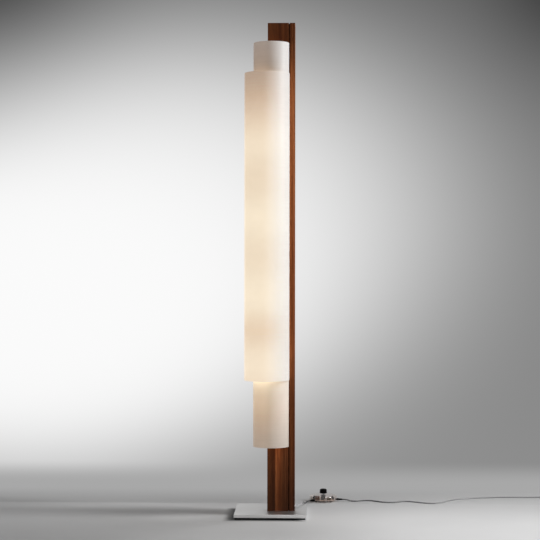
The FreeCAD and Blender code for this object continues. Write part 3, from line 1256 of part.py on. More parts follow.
def coil_spot(turns):
    """Point of the coil after a number of turns: in, up a layer, and out again."""
    count, pitch, radius = (value(f"dim.{name}") for name in ("coil_turns", "coil_pitch", "coil_radius"))
    left = abs(turns - count)
    if left < TURN_BACK_SHARE:
        left = (TURN_BACK_SHARE + left ** 2 / TURN_BACK_SHARE) / 2
    rise = min(max((turns - count) / CLIMB_SHARE + 1 / 2, 0), 1)
    angle = 2 * math.pi * turns - math.pi / 2
    reach = radius - pitch * (count - left)
    middle = point("dim.coil_x", "dim.coil_y", "dim.coil_base")
    lift = value("dim.coil_rise") * (1 - math.cos(math.pi * rise)) / 2
    return middle + FreeCAD.Vector(reach * math.cos(angle), reach * math.sin(angle), lift)


def coil_heading(turns):
    """Direction of the coil's run, level at both ends."""
    if turns <= 0 or turns >= 2 * value("dim.coil_turns"):
        return FreeCAD.Vector(1, 0, 0)
    return (coil_spot(turns + NEARBY_SHARE) - coil_spot(turns - NEARBY_SHARE)).normalize()


def biarc(start, into, end, out):
    """Two arcs that join two points with given headings."""
    span, both = end - start, into + out
    spread = 2 * (1 - into.dot(out))
    reach = (math.sqrt(span.dot(both) ** 2 + spread * span.dot(span)) - span.dot(both)) / spread
    first, second = start + into * reach, end - out * reach
    joint = (first + second) * 0.5
    edges = []
    for before, corner, after in ((start, first, joint), (joint, second, end)):
        _, middle, _, _ = corner_arc(before, corner, after, reach)
        edges.append(Part.Arc(before, middle, after).toShape())
    return edges


def coil_path():
    """The coil's middle line: straight ends and arcs between points of the spiral."""
    count = int(2 * value("dim.coil_turns") * COIL_SPANS)
    spots = [number / COIL_SPANS for number in range(count + 1)]
    edges = [Part.LineSegment(coil_end(0), coil_spot(spots[0])).toShape()]
    for before, after in zip(spots, spots[1:]):
        edges += biarc(coil_spot(before), coil_heading(before), coil_spot(after), coil_heading(after))
    edges.append(Part.LineSegment(coil_spot(spots[-1]), coil_end(1)).toShape())
    return Part.Wire(edges)


def own_gap(path, radius):
    """Least gap between turns of a tube, measured on points of its path one radius apart."""
    spots = path.discretize(Distance=radius)
    pairs = ((one, other) for number, one in enumerate(spots) for other in spots[number + NEIGHBOURS:])
    return min((one - other).Length for one, other in pairs) - 2 * radius


def coil():
    """The part of the cord that is put away."""
    radius = value("dim.cord_radius")
    path = coil_path()
    keep("cord_coil", tube("cord_coil", path, radius))
    print(f"cord_coil: least gap between turns {own_gap(path, radius):.2f} mm")


def coil_tie():
    """Strap round the turns at the back of the coil."""
    slack, thick = "dim.tie_slack", "dim.tie_thickness"
    outer = "(dim.coil_radius - dim.coil_pitch / 2 + dim.cord_radius)"
    inner = f"({outer} - (dim.coil_turns - 1) * dim.coil_pitch - 2 * dim.cord_radius - dim.tie_room)"
    left = "(dim.coil_x - dim.tie_width / 2)"
    front = f"(dim.coil_y + {inner} - {slack})"
    foot = f"(dim.coil_base - dim.cord_radius - {slack})"
    long = f"({outer} - {inner} + 2 * {slack})"
    tall = f"(dim.coil_rise + 2 * dim.cord_radius + 2 * {slack})"
    shell = box("tie_shell", "dim.tie_width", f"{long} + 2 * {thick}", f"{tall} + 2 * {thick}",
                left, f"{front} - {thick}", f"{foot} - {thick}")
    shell = eased("tie_eased", shell, "dim.tie_round",
                  lambda edge: abs(edge.tangentAt(edge.FirstParameter).x) > ALONG_SHARE)
    room = box("tie_hollow", "dim.tie_width + 2 * dim.cut_over", long, tall,
               f"{left} - dim.cut_over", front, foot)
    keep("coil_tie", cut("coil_tie", shell, room))


def plug_boot():
    """Ribbed sleeve where the cord enters the plug."""
    body = turned("plug_boot", ((CORD_BORE, "0"), ("dim.plug_boot_radius", "0"),
                                *ribbed_taper("dim.plug_boot_radius", "dim.boot_tip_radius",
                                              "dim.plug_boot_length")))
    body.Placement = FreeCAD.Placement(point("dim.plug_x", "dim.plug_y", PLUG_AXIS),
                                       FreeCAD.Rotation(upright_axis(), FreeCAD.Vector(-1, 0, 0)))
    keep("plug_boot", body)


def pin_y(side):
    """Axis of a contact pin."""
    return f"dim.plug_y + {side} * dim.plug_pin_pitch / 2"


def plug_blank():
    """Flat moulded body, narrow at the cord, with rounded edges."""
    body = body_of("plug_blank")
    wide, neck, long = "dim.plug_width / 2", "dim.plug_neck / 2", "dim.plug_length"
    side = (("0", neck), ("dim.plug_neck_length", neck), ("dim.plug_grip", wide), (long, wide))
    corners = [(x, f"-{y}") for x, y in side] + [(x, y) for x, y in reversed(side)]
    blank = pad(body, outline(body, "plug_outline", "XY_Plane", corners), "dim.plug_thickness", True)
    rounded(body, blank, "dim.plug_round", lambda edge: True)
    return place(body, "dim.plug_x", "dim.plug_y", PLUG_AXIS)


def plug_body():
    """Plug body with grip grooves across its neck, and the sleeves of its pins."""
    deep = "dim.plug_waist + dim.cut_over"
    faces = (("top", "dim.plug_lift + dim.plug_thickness - dim.plug_waist"),
             ("bottom", "dim.plug_lift - dim.cut_over"))
    grooves = [box(f"plug_groove_{number}_{face}", "dim.plug_groove", "dim.plug_width", deep,
                   f"dim.plug_x + dim.plug_groove_pitch * {number} - dim.plug_groove / 2",
                   "dim.plug_y - dim.plug_width / 2", z)
               for number in range(1, GRIP_GROOVES + 1) for face, z in faces]
    sleeves, wells = [], []
    for number, side in enumerate(PIN_SIDES):
        sleeves.append(rod(f"plug_sleeve_{number}", "dim.plug_sleeve_radius", PIN_ROOTED,
                           PIN_ROOT, pin_y(side), PLUG_AXIS, "X"))
        wells.append(rod(f"plug_well_{number}", "dim.plug_core_radius + dim.bore_slack",
                         f"{PIN_ROOTED} + dim.cut_over", PIN_ROOT, pin_y(side), PLUG_AXIS, "X"))
    keep("plug_body", cut("plug_body", join("plug_sleeved", plug_blank(), *sleeves), *grooves, *wells))


def plug_pins():
    """Contact pins: thin inside their sleeves, full and round-ended beyond them."""
    pins = []
    far = value(f"{PLUG_FACE} + dim.plug_pin_length")
    for number, side in enumerate(PIN_SIDES):
        core = rod(f"plug_core_{number}", "dim.plug_core_radius", PIN_ROOTED,
                   PIN_ROOT, pin_y(side), PLUG_AXIS, "X")
        bare = rod(f"plug_pin_blank_{number}", "dim.plug_pin_radius",
                   "dim.plug_pin_length - dim.plug_sleeve_length",
                   f"{PLUG_FACE} + dim.plug_sleeve_length", pin_y(side), PLUG_AXIS, "X")
        tip = eased(f"plug_tip_{number}", bare, "dim.plug_pin_round",
                    lambda edge: abs(edge.BoundBox.XMin - far) < TINY)
        pins.append(join(f"plug_pin_{number}", core, tip))
    keep("plug_pins", group("plug_pins", pins))


def finish():
    """Check every object and write one file for each sub-part."""
    doc.recompute()
    for piece in doc.Objects:
        if "Invalid" in piece.State or "Error" in piece.State:
            raise ValueError(f"{piece.Label} did not compute: {piece.State}")
    os.makedirs("parts", exist_ok=True)
    for piece in parts:
        shape = piece.Shape
        if shape.isNull() or not shape.isValid() or not shape.Solids:
            raise ValueError(f"{piece.Label} has no valid solid")
        shape.exportStep(f"parts/{piece.Label}.step")
        print(f"{piece.Label}: {len(shape.Solids)} solids, {shape.Volume / 1000:.1f} cm3")
    print(f"{len(parts)} sub-parts")


base_plate()
base_mat()
post_fixings()
side_board()
back_board()
left_stave()
right_stave()
outer_sheet()
inner_sheet()
stop_pins()
bulbs()
lampholders()
brackets()
holder_fixings()
holder_leads()
wiring_trunk()
terminal_block()
cord_inner()
cord_boot()
puck_tray()
puck_cover()
puck_fixings()
puck_cables()
circuit_board()
choke()
capacitor()
heat_sink()
board_terminals()
potentiometer()
switch_plunger()
shaft()
knob()
free_cords()
coil()
coil_tie()
plug_boot()
plug_body()
plug_pins()
finish()
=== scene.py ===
import json
import math

import bpy
from mathutils import Matrix, Vector


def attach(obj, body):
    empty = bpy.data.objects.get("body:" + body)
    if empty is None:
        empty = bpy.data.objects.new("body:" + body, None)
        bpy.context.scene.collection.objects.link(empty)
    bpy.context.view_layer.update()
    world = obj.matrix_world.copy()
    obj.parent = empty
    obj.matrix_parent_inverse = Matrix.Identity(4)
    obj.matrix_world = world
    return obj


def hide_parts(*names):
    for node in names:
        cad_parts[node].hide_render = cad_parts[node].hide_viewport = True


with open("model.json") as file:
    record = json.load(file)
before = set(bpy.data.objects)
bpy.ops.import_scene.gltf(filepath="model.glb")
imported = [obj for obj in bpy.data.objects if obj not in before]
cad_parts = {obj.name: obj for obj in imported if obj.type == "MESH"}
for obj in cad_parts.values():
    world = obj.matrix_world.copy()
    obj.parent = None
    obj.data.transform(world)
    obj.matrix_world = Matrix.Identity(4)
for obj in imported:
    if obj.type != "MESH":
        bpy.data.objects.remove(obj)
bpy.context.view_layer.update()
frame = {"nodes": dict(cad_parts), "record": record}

NODES = frame["nodes"]
SLOTS = {part["node"]: part["material_slot"] for part in frame["record"]["subparts"]}


def add_object(name, data):
    made = bpy.data.objects.new(name, data)
    bpy.context.scene.collection.objects.link(made)
    return made


# Camera: at the height of the lamp's middle, with a long lens, turned a little to the left

CAMERA_PLACE = (0.1539, -5.5192, 0.9006)
# Turns in degrees: to the left, up from straight down, and round the line of sight
CAMERA_PAN = 1.64
CAMERA_TILT = 89.972
CAMERA_ROLL = 0.065
LENS = 100
SENSOR = 36


def add_camera():
    data = bpy.data.cameras.new("camera")
    data.lens = LENS
    data.sensor_width = SENSOR
    data.clip_start = 0.05
    data.clip_end = 60
    turn = (Matrix.Rotation(math.radians(CAMERA_PAN), 4, "Z")
            @ Matrix.Rotation(math.radians(CAMERA_TILT), 4, "X")
            @ Matrix.Rotation(math.radians(CAMERA_ROLL), 4, "Z"))
    made = add_object("camera", data)
    made.matrix_world = Matrix.Translation(CAMERA_PLACE) @ turn
    bpy.context.scene.camera = made


# Cords: the lead from the post to the dimmer, and the mains cord with its put-away coil and its plug

CORD = 0.0050

LEAD_ROUTE = (
    (0.1000, 0.0548, 0.0250), (0.1065, 0.0660, 0.0250), (0.1125, 0.0860, 0.0252), (0.1175, 0.1070, 0.0256),
    (0.1205, 0.1270, 0.0254), (0.1225, 0.1460, 0.0205), (0.1238, 0.1640, 0.0120), (0.1236, 0.1820, 0.0058),
    (0.1234, 0.2000, 0.0030), (0.1244, 0.2180, 0.0030), (0.1278, 0.2365, 0.0056), (0.1328, 0.2498, 0.0090),
    (0.1427, 0.2597, 0.0090),
)
MAINS_ROUTE = (
    (0.2683, 0.3017, 0.0090), (0.2821, 0.2998, 0.0090), (0.2990, 0.2942, 0.0042), (0.3220, 0.2985, 0.0026),
    (0.3470, 0.3130, 0.0026), (0.3730, 0.3185, 0.0026), (0.3985, 0.3005, 0.0026), (0.4240, 0.2770, 0.0026),
    (0.4560, 0.2685, 0.0026), (0.4870, 0.2870, 0.0026), (0.5160, 0.3035, 0.0026), (0.5490, 0.2870, 0.0026),
    (0.5850, 0.2575, 0.0026), (0.6200, 0.2500, 0.0026), (0.6520, 0.2750, 0.0026), (0.6800, 0.3160, 0.0026),
    (0.7140, 0.3570, 0.0026), (0.7620, 0.3825, 0.0026), (0.8180, 0.4000, 0.0026), (0.8730, 0.4140, 0.0026),
    (0.9380, 0.4190, 0.0026), (1.0030, 0.4170, 0.0026), (1.0560, 0.4170, 0.0039),
)
TAIL_ROUTE = (
    (1.1310, 0.4170, 0.0095), (1.1495, 0.4120, 0.0082), (1.1650, 0.4090, 0.0071), (1.1790, 0.4090, 0.0071),
)
COIL_CENTRE = (1.110, 0.453)
COIL_TURNS = 6
COIL_RADIUS = 0.036
COIL_PITCH = 0.0056
COIL_BASE = 0.0039
COIL_CLIMB = 0.5
COIL_POINTS = 20


def coil_point(turns):
    """A point of the coil: three turns inward on the floor, a climb, and three turns outward on top."""
    past = turns - COIL_TURNS / 2
    left = abs(past)
    if left <= COIL_CLIMB / 2:
        left = COIL_CLIMB / 4 + left ** 2 / COIL_CLIMB
    radius = COIL_RADIUS - COIL_PITCH * (COIL_TURNS / 2 - left)
    angle = 2 * math.pi * turns - math.pi / 2
    rise = min(max(past / COIL_CLIMB + 0.5, 0), 1)
    height = COIL_BASE + COIL_PITCH * (1 - math.cos(math.pi * rise)) / 2
    return COIL_CENTRE[0] + radius * math.cos(angle), COIL_CENTRE[1] + radius * math.sin(angle), height


def cord_curve(name, points, finish):
    data = bpy.data.curves.new(name, "CURVE")
    data.dimensions = "3D"
    data.bevel_depth = CORD / 2
    data.bevel_resolution = 4
    data.resolution_u = 10
    data.use_fill_caps = True
    spline = data.splines.new("NURBS")
    spline.points.add(len(points) - 1)
    for control, place in zip(spline.points, points):
        control.co = (*place, 1)
    spline.order_u = 3
    spline.use_endpoint_u = True
    data.materials.append(finish)
    return add_object(name, data)


def add_cords(finish):
    lead = cord_curve("lead", LEAD_ROUTE, finish)
    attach(lead, "lamp")
    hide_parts("cord_lead")
    coil = [coil_point(step / COIL_POINTS) for step in range(COIL_TURNS * COIL_POINTS + 1)]
    mains = cord_curve("mains", [*MAINS_ROUTE, *coil, *TAIL_ROUTE], finish)
    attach(mains, "lamp")
    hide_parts("cord_mains", "cord_coil", "cord_tail")


# Materials: short ways to build node trees

WHITE = (1.0, 1.0, 1.0)


class Nodes:
    """A node tree, and short ways to add nodes to it."""

    def __init__(self, tree):
        self.tree = tree
        self.tree.nodes.clear()

    def add(self, kind, settings=None, **inputs):
        made = self.tree.nodes.new("ShaderNode" + kind)
        for name, value in (settings or {}).items():
            setattr(made, name, value)
        for name, value in inputs.items():
            self.put(made.inputs[name.replace("_", " ")], value)
        return made

    def put(self, socket, value):
        if isinstance(value, bpy.types.NodeSocket):
            self.tree.links.new(value, socket)
        elif isinstance(value, tuple) and len(value) == 3 and socket.type == "RGBA":
            socket.default_value = (*value, 1)
        else:
            socket.default_value = value

    def math(self, operation, *values):
        made = self.add("Math", {"operation": operation})
        for socket, value in zip(made.inputs, values):
            self.put(socket, value)
        return made.outputs[0]

    def product(self, first, *others):
        for other in others:
            first = self.math("MULTIPLY", first, other)
        return first

    def weighted(self, first, *others):
        """The sum of some values, each given with its weight."""
        total = self.math("MULTIPLY", *first)
        for value, weight in others:
            total = self.math("MULTIPLY_ADD", value, weight, total)
        return total

    def nearness(self, distance, reach):
        """1 at no distance, a half at the reach, and less and less beyond it."""
        ratio = self.math("DIVIDE", distance, reach)
        return self.math("DIVIDE", 1.0, self.math("MULTIPLY_ADD", ratio, ratio, 1.0))

    def vector(self, operation, *values):
        made = self.add("VectorMath", {"operation": operation})
        for socket, value in zip(made.inputs, values):
            self.put(socket, value)
        return made.outputs["Value" if operation in ("DISTANCE", "DOT_PRODUCT", "LENGTH") else "Vector"]

    def times(self, colour, level):
        return self.add("VectorMath", {"operation": "SCALE"}, Vector=colour, Scale=level).outputs["Vector"]

    def noise(self, vector, scale=1.0, detail=4.0, roughness=0.5, distortion=0.0, output=0):
        made = self.add("TexNoise", Vector=vector, Scale=scale, Detail=detail, Roughness=roughness,
                        Distortion=distortion)
        return made.outputs[output]

    def ramp(self, factor, *stops):
        made = self.add("ValToRGB", Fac=factor)
        table = made.color_ramp.elements
        for _ in stops[2:]:
            table.new(0.5)
        for element, (position, colour) in zip(table, stops):
            element.position = position
            element.color = (*colour, 1)
        return made.outputs[0]

    def mix(self, factor, one, other):
        made = self.add("Mix", {"data_type": "RGBA"})
        for socket, value in ((0, factor), (6, one), (7, other)):
            self.put(made.inputs[socket], value)
        return made.outputs[2]

    def span(self, value, low, high, to_low=0.0, to_high=1.0, kind="LINEAR"):
        made = self.add("MapRange", {"interpolation_type": kind}, Value=value, From_Min=low, From_Max=high,
                        To_Min=to_low, To_Max=to_high)
        return made.outputs[0]

    def ease(self, value, low, high, to_low=0.0, to_high=1.0):
        return self.span(value, low, high, to_low, to_high, "SMOOTHSTEP")

    def bump(self, height, strength, distance):
        return self.add("Bump", Height=height, Strength=strength, Distance=distance).outputs[0]

    def principled(self, **inputs):
        return self.add("BsdfPrincipled", **inputs).outputs[0]

    def blend(self, factor, one, other):
        made = self.add("MixShader")
        for socket, value in zip(made.inputs, (factor, one, other)):
            self.put(socket, value)
        return made.outputs[0]


class Finish(Nodes):
    """A material, with the place on the object that its patterns start from."""

    def __init__(self, name):
        self.material = bpy.data.materials.new(name)
        self.material.use_nodes = True
        super().__init__(self.material.node_tree)
        self.place = self.add("TexCoord").outputs["Object"]

    def axis(self, name):
        return self.add("SeparateXYZ", Vector=self.place).outputs[name]

    def scaled(self, scale, vector=None):
        return self.add("Mapping", Vector=vector or self.place, Scale=scale).outputs[0]

    def normal(self):
        return self.add("NewGeometry").outputs["True Normal"]

    def backfacing(self):
        return self.add("NewGeometry").outputs["Backfacing"]

    def done(self, shader):
        self.tree.links.new(shader, self.add("OutputMaterial").inputs["Surface"])
        return self.material


# Materials: plastics, rubber and metals

def moulded(name, dark, light, scale, rough, stretch=(1, 1, 1), bump=0.15, **more):
    """Moulded, cast or drawn stuff: two close colours, roughness that varies, and a fine grain.

    scale is how fine the grain is, stretch multiplies that along each axis, and rough holds the least and
    the most roughness.
    """
    made = Finish(name)
    grain = made.noise(made.scaled(stretch), scale, 6, 0.6)
    cloud = made.noise(made.scaled(stretch), scale / 12, 3)
    colour = made.ramp(made.weighted((cloud, 0.5), (grain, 0.5)), (0.35, dark), (0.65, light))
    return made.done(made.principled(Base_Color=colour, Roughness=made.span(cloud, 0.3, 0.7, *rough),
                                     Normal=made.bump(grain, bump, 0.0001), **more))


def brushed_steel():
    """Steel brushed along X, with a painted highlight: its upright faces, as the plate's edge, are painted
    paler than its top.
    """
    made = Finish("steel_brushed")
    lines = made.noise(made.scaled((3, 900, 900)), 1.0, 5, 0.65)
    cloud = made.noise(made.scaled((5, 9, 9)), 1.0, 3)
    wear = made.noise(made.scaled((60, 900, 900)), 1.0, 2)
    colour = made.ramp(made.weighted((cloud, 0.3), (lines, 0.7)),
                       (0.35, (0.48, 0.475, 0.47)), (0.65, (0.64, 0.635, 0.63)))
    # Painted highlight: faces that don't look up get the steel colour 1.35 times paler
    up = made.vector("DOT_PRODUCT", made.normal(), (0.0, 0.0, 1.0))
    colour = made.mix(made.math("GREATER_THAN", up, 0.5), made.times(colour, 1.35), colour)
    rough = made.math("MULTIPLY_ADD", wear, 0.10, made.span(cloud, 0.3, 0.7, 0.26, 0.36))
    return made.done(made.principled(Base_Color=colour, Metallic=1.0, Roughness=rough, Anisotropic=0.4,
                                     Normal=made.bump(lines, 0.12, 0.00005)))


def clear_plastic():
    """Clear moulding: see-through, glossy at the edge, with a breath of haze and fine scratches."""
    made = Finish("plastic_clear")
    cloud = made.noise(made.place, 45, 4, 0.6)
    scratches = made.bump(made.noise(made.place, 900, 3), 0.02, 0.00005)
    through = made.add("BsdfTransparent", Color=(0.99, 0.975, 0.965)).outputs[0]
    body = made.add("BsdfDiffuse", Color=(0.92, 0.80, 0.76), Normal=scratches).outputs[0]
    gloss = made.add("BsdfGlossy", Color=WHITE, Roughness=made.span(cloud, 0.3, 0.7, 0.06, 0.16),
                     Normal=scratches).outputs[0]
    front = made.math("SUBTRACT", 1.0, made.backfacing())
    haze = made.product(made.span(cloud, 0.3, 0.7, 0.042, 0.078), front)
    edge = made.product(made.add("Fresnel", IOR=1.45, Normal=scratches).outputs[0], front)
    return made.done(made.blend(edge, made.blend(haze, through, body), gloss))


def circuit_board():
    """Phenolic board with a pattern of tracks."""
    made = Finish("board_phenolic")
    tracks = made.add("TexBrick", {"offset": 0.5}, Vector=made.place, Scale=110.0, Mortar_Size=0.012,
                      Color1=(0.66, 0.50, 0.42), Color2=(0.72, 0.56, 0.47), Mortar=(0.42, 0.27, 0.17))
    grain = made.noise(made.place, 1500, 3)
    return made.done(made.principled(Base_Color=tracks.outputs[0], Roughness=made.span(grain, 0, 1, 0.3, 0.5),
                                     Normal=made.bump(tracks.outputs[1], 0.3, 0.0001), Coat_Weight=0.4))


def wound_copper():
    """Lacquered wire in level turns, with a shallow groove between them."""
    made = Finish("wire_copper")
    turns = made.math("SINE", made.product(made.axis("Z"), 6800.0))
    cloud = made.noise(made.place, 120, 3)
    colour = made.ramp(made.math("MULTIPLY_ADD", turns, 0.3, cloud),
                       (0.2, (0.022, 0.007, 0.002)), (0.8, (0.160, 0.055, 0.018)))
    return made.done(made.principled(Base_Color=colour, Metallic=0.35, Coat_Weight=0.1,
                                     Roughness=made.span(cloud, 0, 1, 0.35, 0.55),
                                     Normal=made.bump(turns, 0.5, 0.0002)))


def cable():
    """Glossy grey sheath with a painted highlight where it runs over the plate, and paler towards the plug,
    as the photo shows it.
    """
    made = Finish("cable_grey")
    grain = made.noise(made.place, 700, 6, 0.6)
    # Grey by place along X: pale over the plate as a painted highlight, then dark, and paler towards the plug
    highlight_and_tones = ((0.112, 0.52), (0.122, 0.07), (0.30, 0.11), (0.45, 0.14), (0.62, 0.34))
    tone = made.ramp(made.axis("X"), *((place, (level, level, level * 1.02)) for place, level in highlight_and_tones))
    colour = made.mix(made.span(grain, 0.3, 0.7), made.times(tone, 0.85), tone)
    return made.done(made.principled(Base_Color=colour, Roughness=made.span(grain, 0.3, 0.7, 0.22, 0.34),
                                     Normal=made.bump(grain, 0.15, 0.0001)))


# Materials: walnut, with grain along Z

WALNUT_TONES = ((0.38, (0.098, 0.0240, 0.0070)), (0.50, (0.205, 0.0590, 0.0180)),
                (0.63, (0.340, 0.1120, 0.0380)))


def walnut(name, shift, tone, streak=None, lit=0.0):
    """Oiled walnut: long straight grain, wider figure, and short dark pores, with painted shade that makes it
    darker at the foot.

    shift moves the pattern, so that no two boards are alike, and tone makes it paler or darker. A streak
    is a paler band beside a stave joint, and lit is the strength of a painted glow that stands for the light
    from the sheets beside the board.
    """
    made = Finish(name)
    place = made.vector("ADD", made.place, shift)
    sway = made.vector("SUBTRACT", made.noise(made.scaled((4, 4, 1.3), place), 1.0, 2, output=1),
                       (0.5, 0.5, 0.5))
    wavy = made.vector("ADD", place, made.vector("MULTIPLY", sway, (0.022, 0.022, 0)))
    rings = made.noise(made.scaled((70, 70, 1.2), wavy), 1.0, 5, 0.55, 0.5)
    fine = made.noise(made.scaled((480, 480, 6), wavy), 1.0, 4, 0.6)
    pores = made.noise(made.scaled((1100, 1100, 30), place), 1.0, 2)
    wide = made.noise(made.scaled((9, 9, 0.8), place), 1.0, 2)
    stops = [(stop, [part * tone for part in colour]) for stop, colour in WALNUT_TONES]
    colour = made.ramp(made.weighted((fine, 0.22), (rings, 0.60), (wide, 0.18)), *stops)
    if streak:
        colour = made.times(colour, paler_streak(made, *streak))
    # Painted shade: darker towards the foot, down to 0.42 at the bottom, put in with the pores
    foot_shade = made.ease(made.axis("Z"), 0.02, 0.25, 0.42, 1.0)
    pores_and_foot_shade = made.product(made.span(pores, 0.32, 0.42, 0.5, 1.0), foot_shade)
    colour = made.times(colour, pores_and_foot_shade)
    relief = made.bump(made.weighted((fine, 0.5), (pores_and_foot_shade, 0.7)), 0.25, 0.0002)
    shader = made.add("BsdfPrincipled", Base_Color=colour, Roughness=made.span(fine, 0.3, 0.7, 0.38, 0.55),
                      Specular_IOR_Level=0.10, Normal=relief)
    # Painted glow: the board's front glows in its own colour next to the sheets, as if lit by them
    if lit:
        made.put(shader.inputs["Emission Color"], colour)
        made.put(shader.inputs["Emission Strength"], made.product(beside_sheets(made), lit))
    return made.done(shader.outputs[0])


def paler_streak(made, start, stop, top):
    """How much paler a streak is: it ends from start to stop across the board, and thins out up to top."""
    across = made.ease(made.axis("X"), start, stop, 1.0, 0.0)
    upward = made.ease(made.axis("Z"), top - 0.4, top, 1.65, 0.0)
    return made.math("ADD", made.product(across, upward), 1.0)


def beside_sheets(made):
    """Where the side board's painted glow shows: 1 on the front of the board next to the sheets, and 0 past
    their ends and further back.
    """
    front = made.ease(made.axis("Y"), -0.045, -0.030, 1.0, 0.0)
    across = made.span(made.axis("X"), 0.070, 0.092, 1.0, 0.6)
    above = made.ease(made.axis("Z"), 0.42, 0.62)
    below = made.ease(made.axis("Z"), 1.74, 1.52)
    return made.product(front, across, above, below)


# Materials: sheets and bulbs

BULB_HEIGHTS = [0.540 + 0.272 * step for step in range(4)]
BULB_AXIS = (-0.0275, -0.0605)
BULB_REACH = 0.155
SPOT_REACH = 0.062
OUTER_AXIS = (-0.01425, -0.04725)
INNER_AXIS = (0.00164, -0.03136)

# Painted light and shade on the two sheets by height in metres, for the left and the right side of the curl:
# factors on their glow and colour, darker in the gap at the outer sheet's top rim, towards the sheets' ends
# and between bulbs, and paler near the lowest bulb
PAINTED_SHADING_TOP = 1.2
OUTER_LEFT = ((0.60, WHITE), (0.68, (0.94, 0.89, 0.86)), (0.76, WHITE),
              (1.48, WHITE), (1.60, (0.93, 0.89, 0.84)))
OUTER_RIGHT = ((0.60, WHITE), (0.68, (1.0, 0.98, 0.96)), (0.76, WHITE))
INNER_LEFT = ((0.26, (0.92, 0.89, 0.83)), (0.42, (1.10, 1.05, 0.97)), (0.49, (0.93, 0.93, 0.89)),
              (0.54, WHITE), (1.56, WHITE), (1.625, (0.71, 0.71, 0.70)), (1.68, (0.90, 0.89, 0.88)),
              (1.74, WHITE))
INNER_RIGHT = ((0.26, (0.90, 0.82, 0.74)), (0.40, (1.15, 1.04, 0.95)), (0.48, (1.17, 1.10, 1.02)),
               (0.54, WHITE))


def painted_shading_by_height(made, stops):
    """A ramp takes places and colours from 0 to 1, so heights are halved and the painted light and shade
    divided by the highest.
    """
    half = made.product(made.axis("Z"), 0.5)
    return made.ramp(half, *((height / 2, [part / PAINTED_SHADING_TOP for part in painted_shading]) for height, painted_shading in stops))


def laminate(name, axis, gain, least, spot, left, right):
    """Laid paper in laminate, lit from within: bright at the bulbs, and dim towards both ends.

    The glow goes from least up by gain, is half as strong again on the inside of the curl round axis,
    and spot adds the bulbs' own bright places. left and right are painted light and shade by height.
    """
    made = Finish(name)
    height = made.axis("Z")
    glow, spots = 0.0, 0.0
    for level in BULB_HEIGHTS:
        glow = made.math("ADD", glow, made.nearness(made.math("SUBTRACT", height, level), BULB_REACH))
        distance = made.vector("DISTANCE", made.place, (*BULB_AXIS, level))
        spots = made.math("ADD", spots, made.nearness(distance, SPOT_REACH))
    laid = made.noise(made.scaled((9, 9, 330)), 1.0, 3, 0.6)
    fibre = made.noise(made.scaled((160, 160, 700)), 1.0, 4, 0.6, 0.4)
    cloud = made.noise(made.scaled((14, 14, 40)), 1.0, 3)
    sheet = made.weighted((fibre, 0.3), (laid, 0.5), (cloud, 0.2))
    away = made.vector("MULTIPLY", made.vector("SUBTRACT", made.place, (*axis, 0.0)), (1, 1, 0))
    inside = made.math("LESS_THAN", made.vector("DOT_PRODUCT", made.normal(), away), 0.0)
    level = made.math("SUBTRACT", 1.0, made.math("EXPONENT", made.product(glow, -1.5)))
    level = made.product(made.math("MULTIPLY_ADD", level, gain, least),
                         made.math("MULTIPLY_ADD", inside, 0.5, 1.0),
                         made.span(sheet, 0.3, 0.7, 0.93, 1.07),
                         made.ease(made.axis("X"), -0.03, 0.072, 1.0, 0.2),
                         made.ease(made.axis("Y"), -0.063, 0.039, 1.0, 0.2))
    warm = made.ramp(made.span(glow, 0.25, 1.5), (0.0, (1.0, 0.74, 0.57)), (0.28, (1.0, 0.68, 0.43)),
                     (1.0, (1.0, 0.81, 0.56)))
    white = made.times((1.0, 1.0, 0.90), made.product(spots, spot))
    rightward = made.ease(made.axis("X"), 0.0, 0.05)
    # Painted light and shade by height, on both the glow and the colour of the sheet
    painted_shading = made.mix(rightward, painted_shading_by_height(made, left), painted_shading_by_height(made, right))
    painted_shading = made.times(painted_shading, PAINTED_SHADING_TOP)
    light = made.vector("MULTIPLY", made.vector("ADD", made.times(warm, level), white), painted_shading)
    colour = made.mix(made.span(sheet, 0.35, 0.65), (0.69, 0.68, 0.67), (0.75, 0.74, 0.73))
    colour = made.vector("MULTIPLY", colour, painted_shading)
    return made.done(made.principled(Base_Color=colour, Roughness=made.span(fibre, 0.3, 0.7, 0.42, 0.6),
                                     Specular_IOR_Level=0.3, Emission_Color=light, Emission_Strength=1.0,
                                     Normal=made.bump(sheet, 0.18, 0.0004)))


def opal_glass():
    """A lit bulb of opal glass."""
    made = Finish("glass_opal")
    cloud = made.noise(made.place, 60, 3)
    colour = made.mix(cloud, (1.0, 0.80, 0.52), (1.0, 0.86, 0.62))
    return made.done(made.principled(Base_Color=(0.9, 0.88, 0.84), Roughness=made.span(cloud, 0, 1, 0.2, 0.4),
                                     Emission_Color=colour, Emission_Strength=3.0, Coat_Weight=0.5))


# Materials: which piece has which

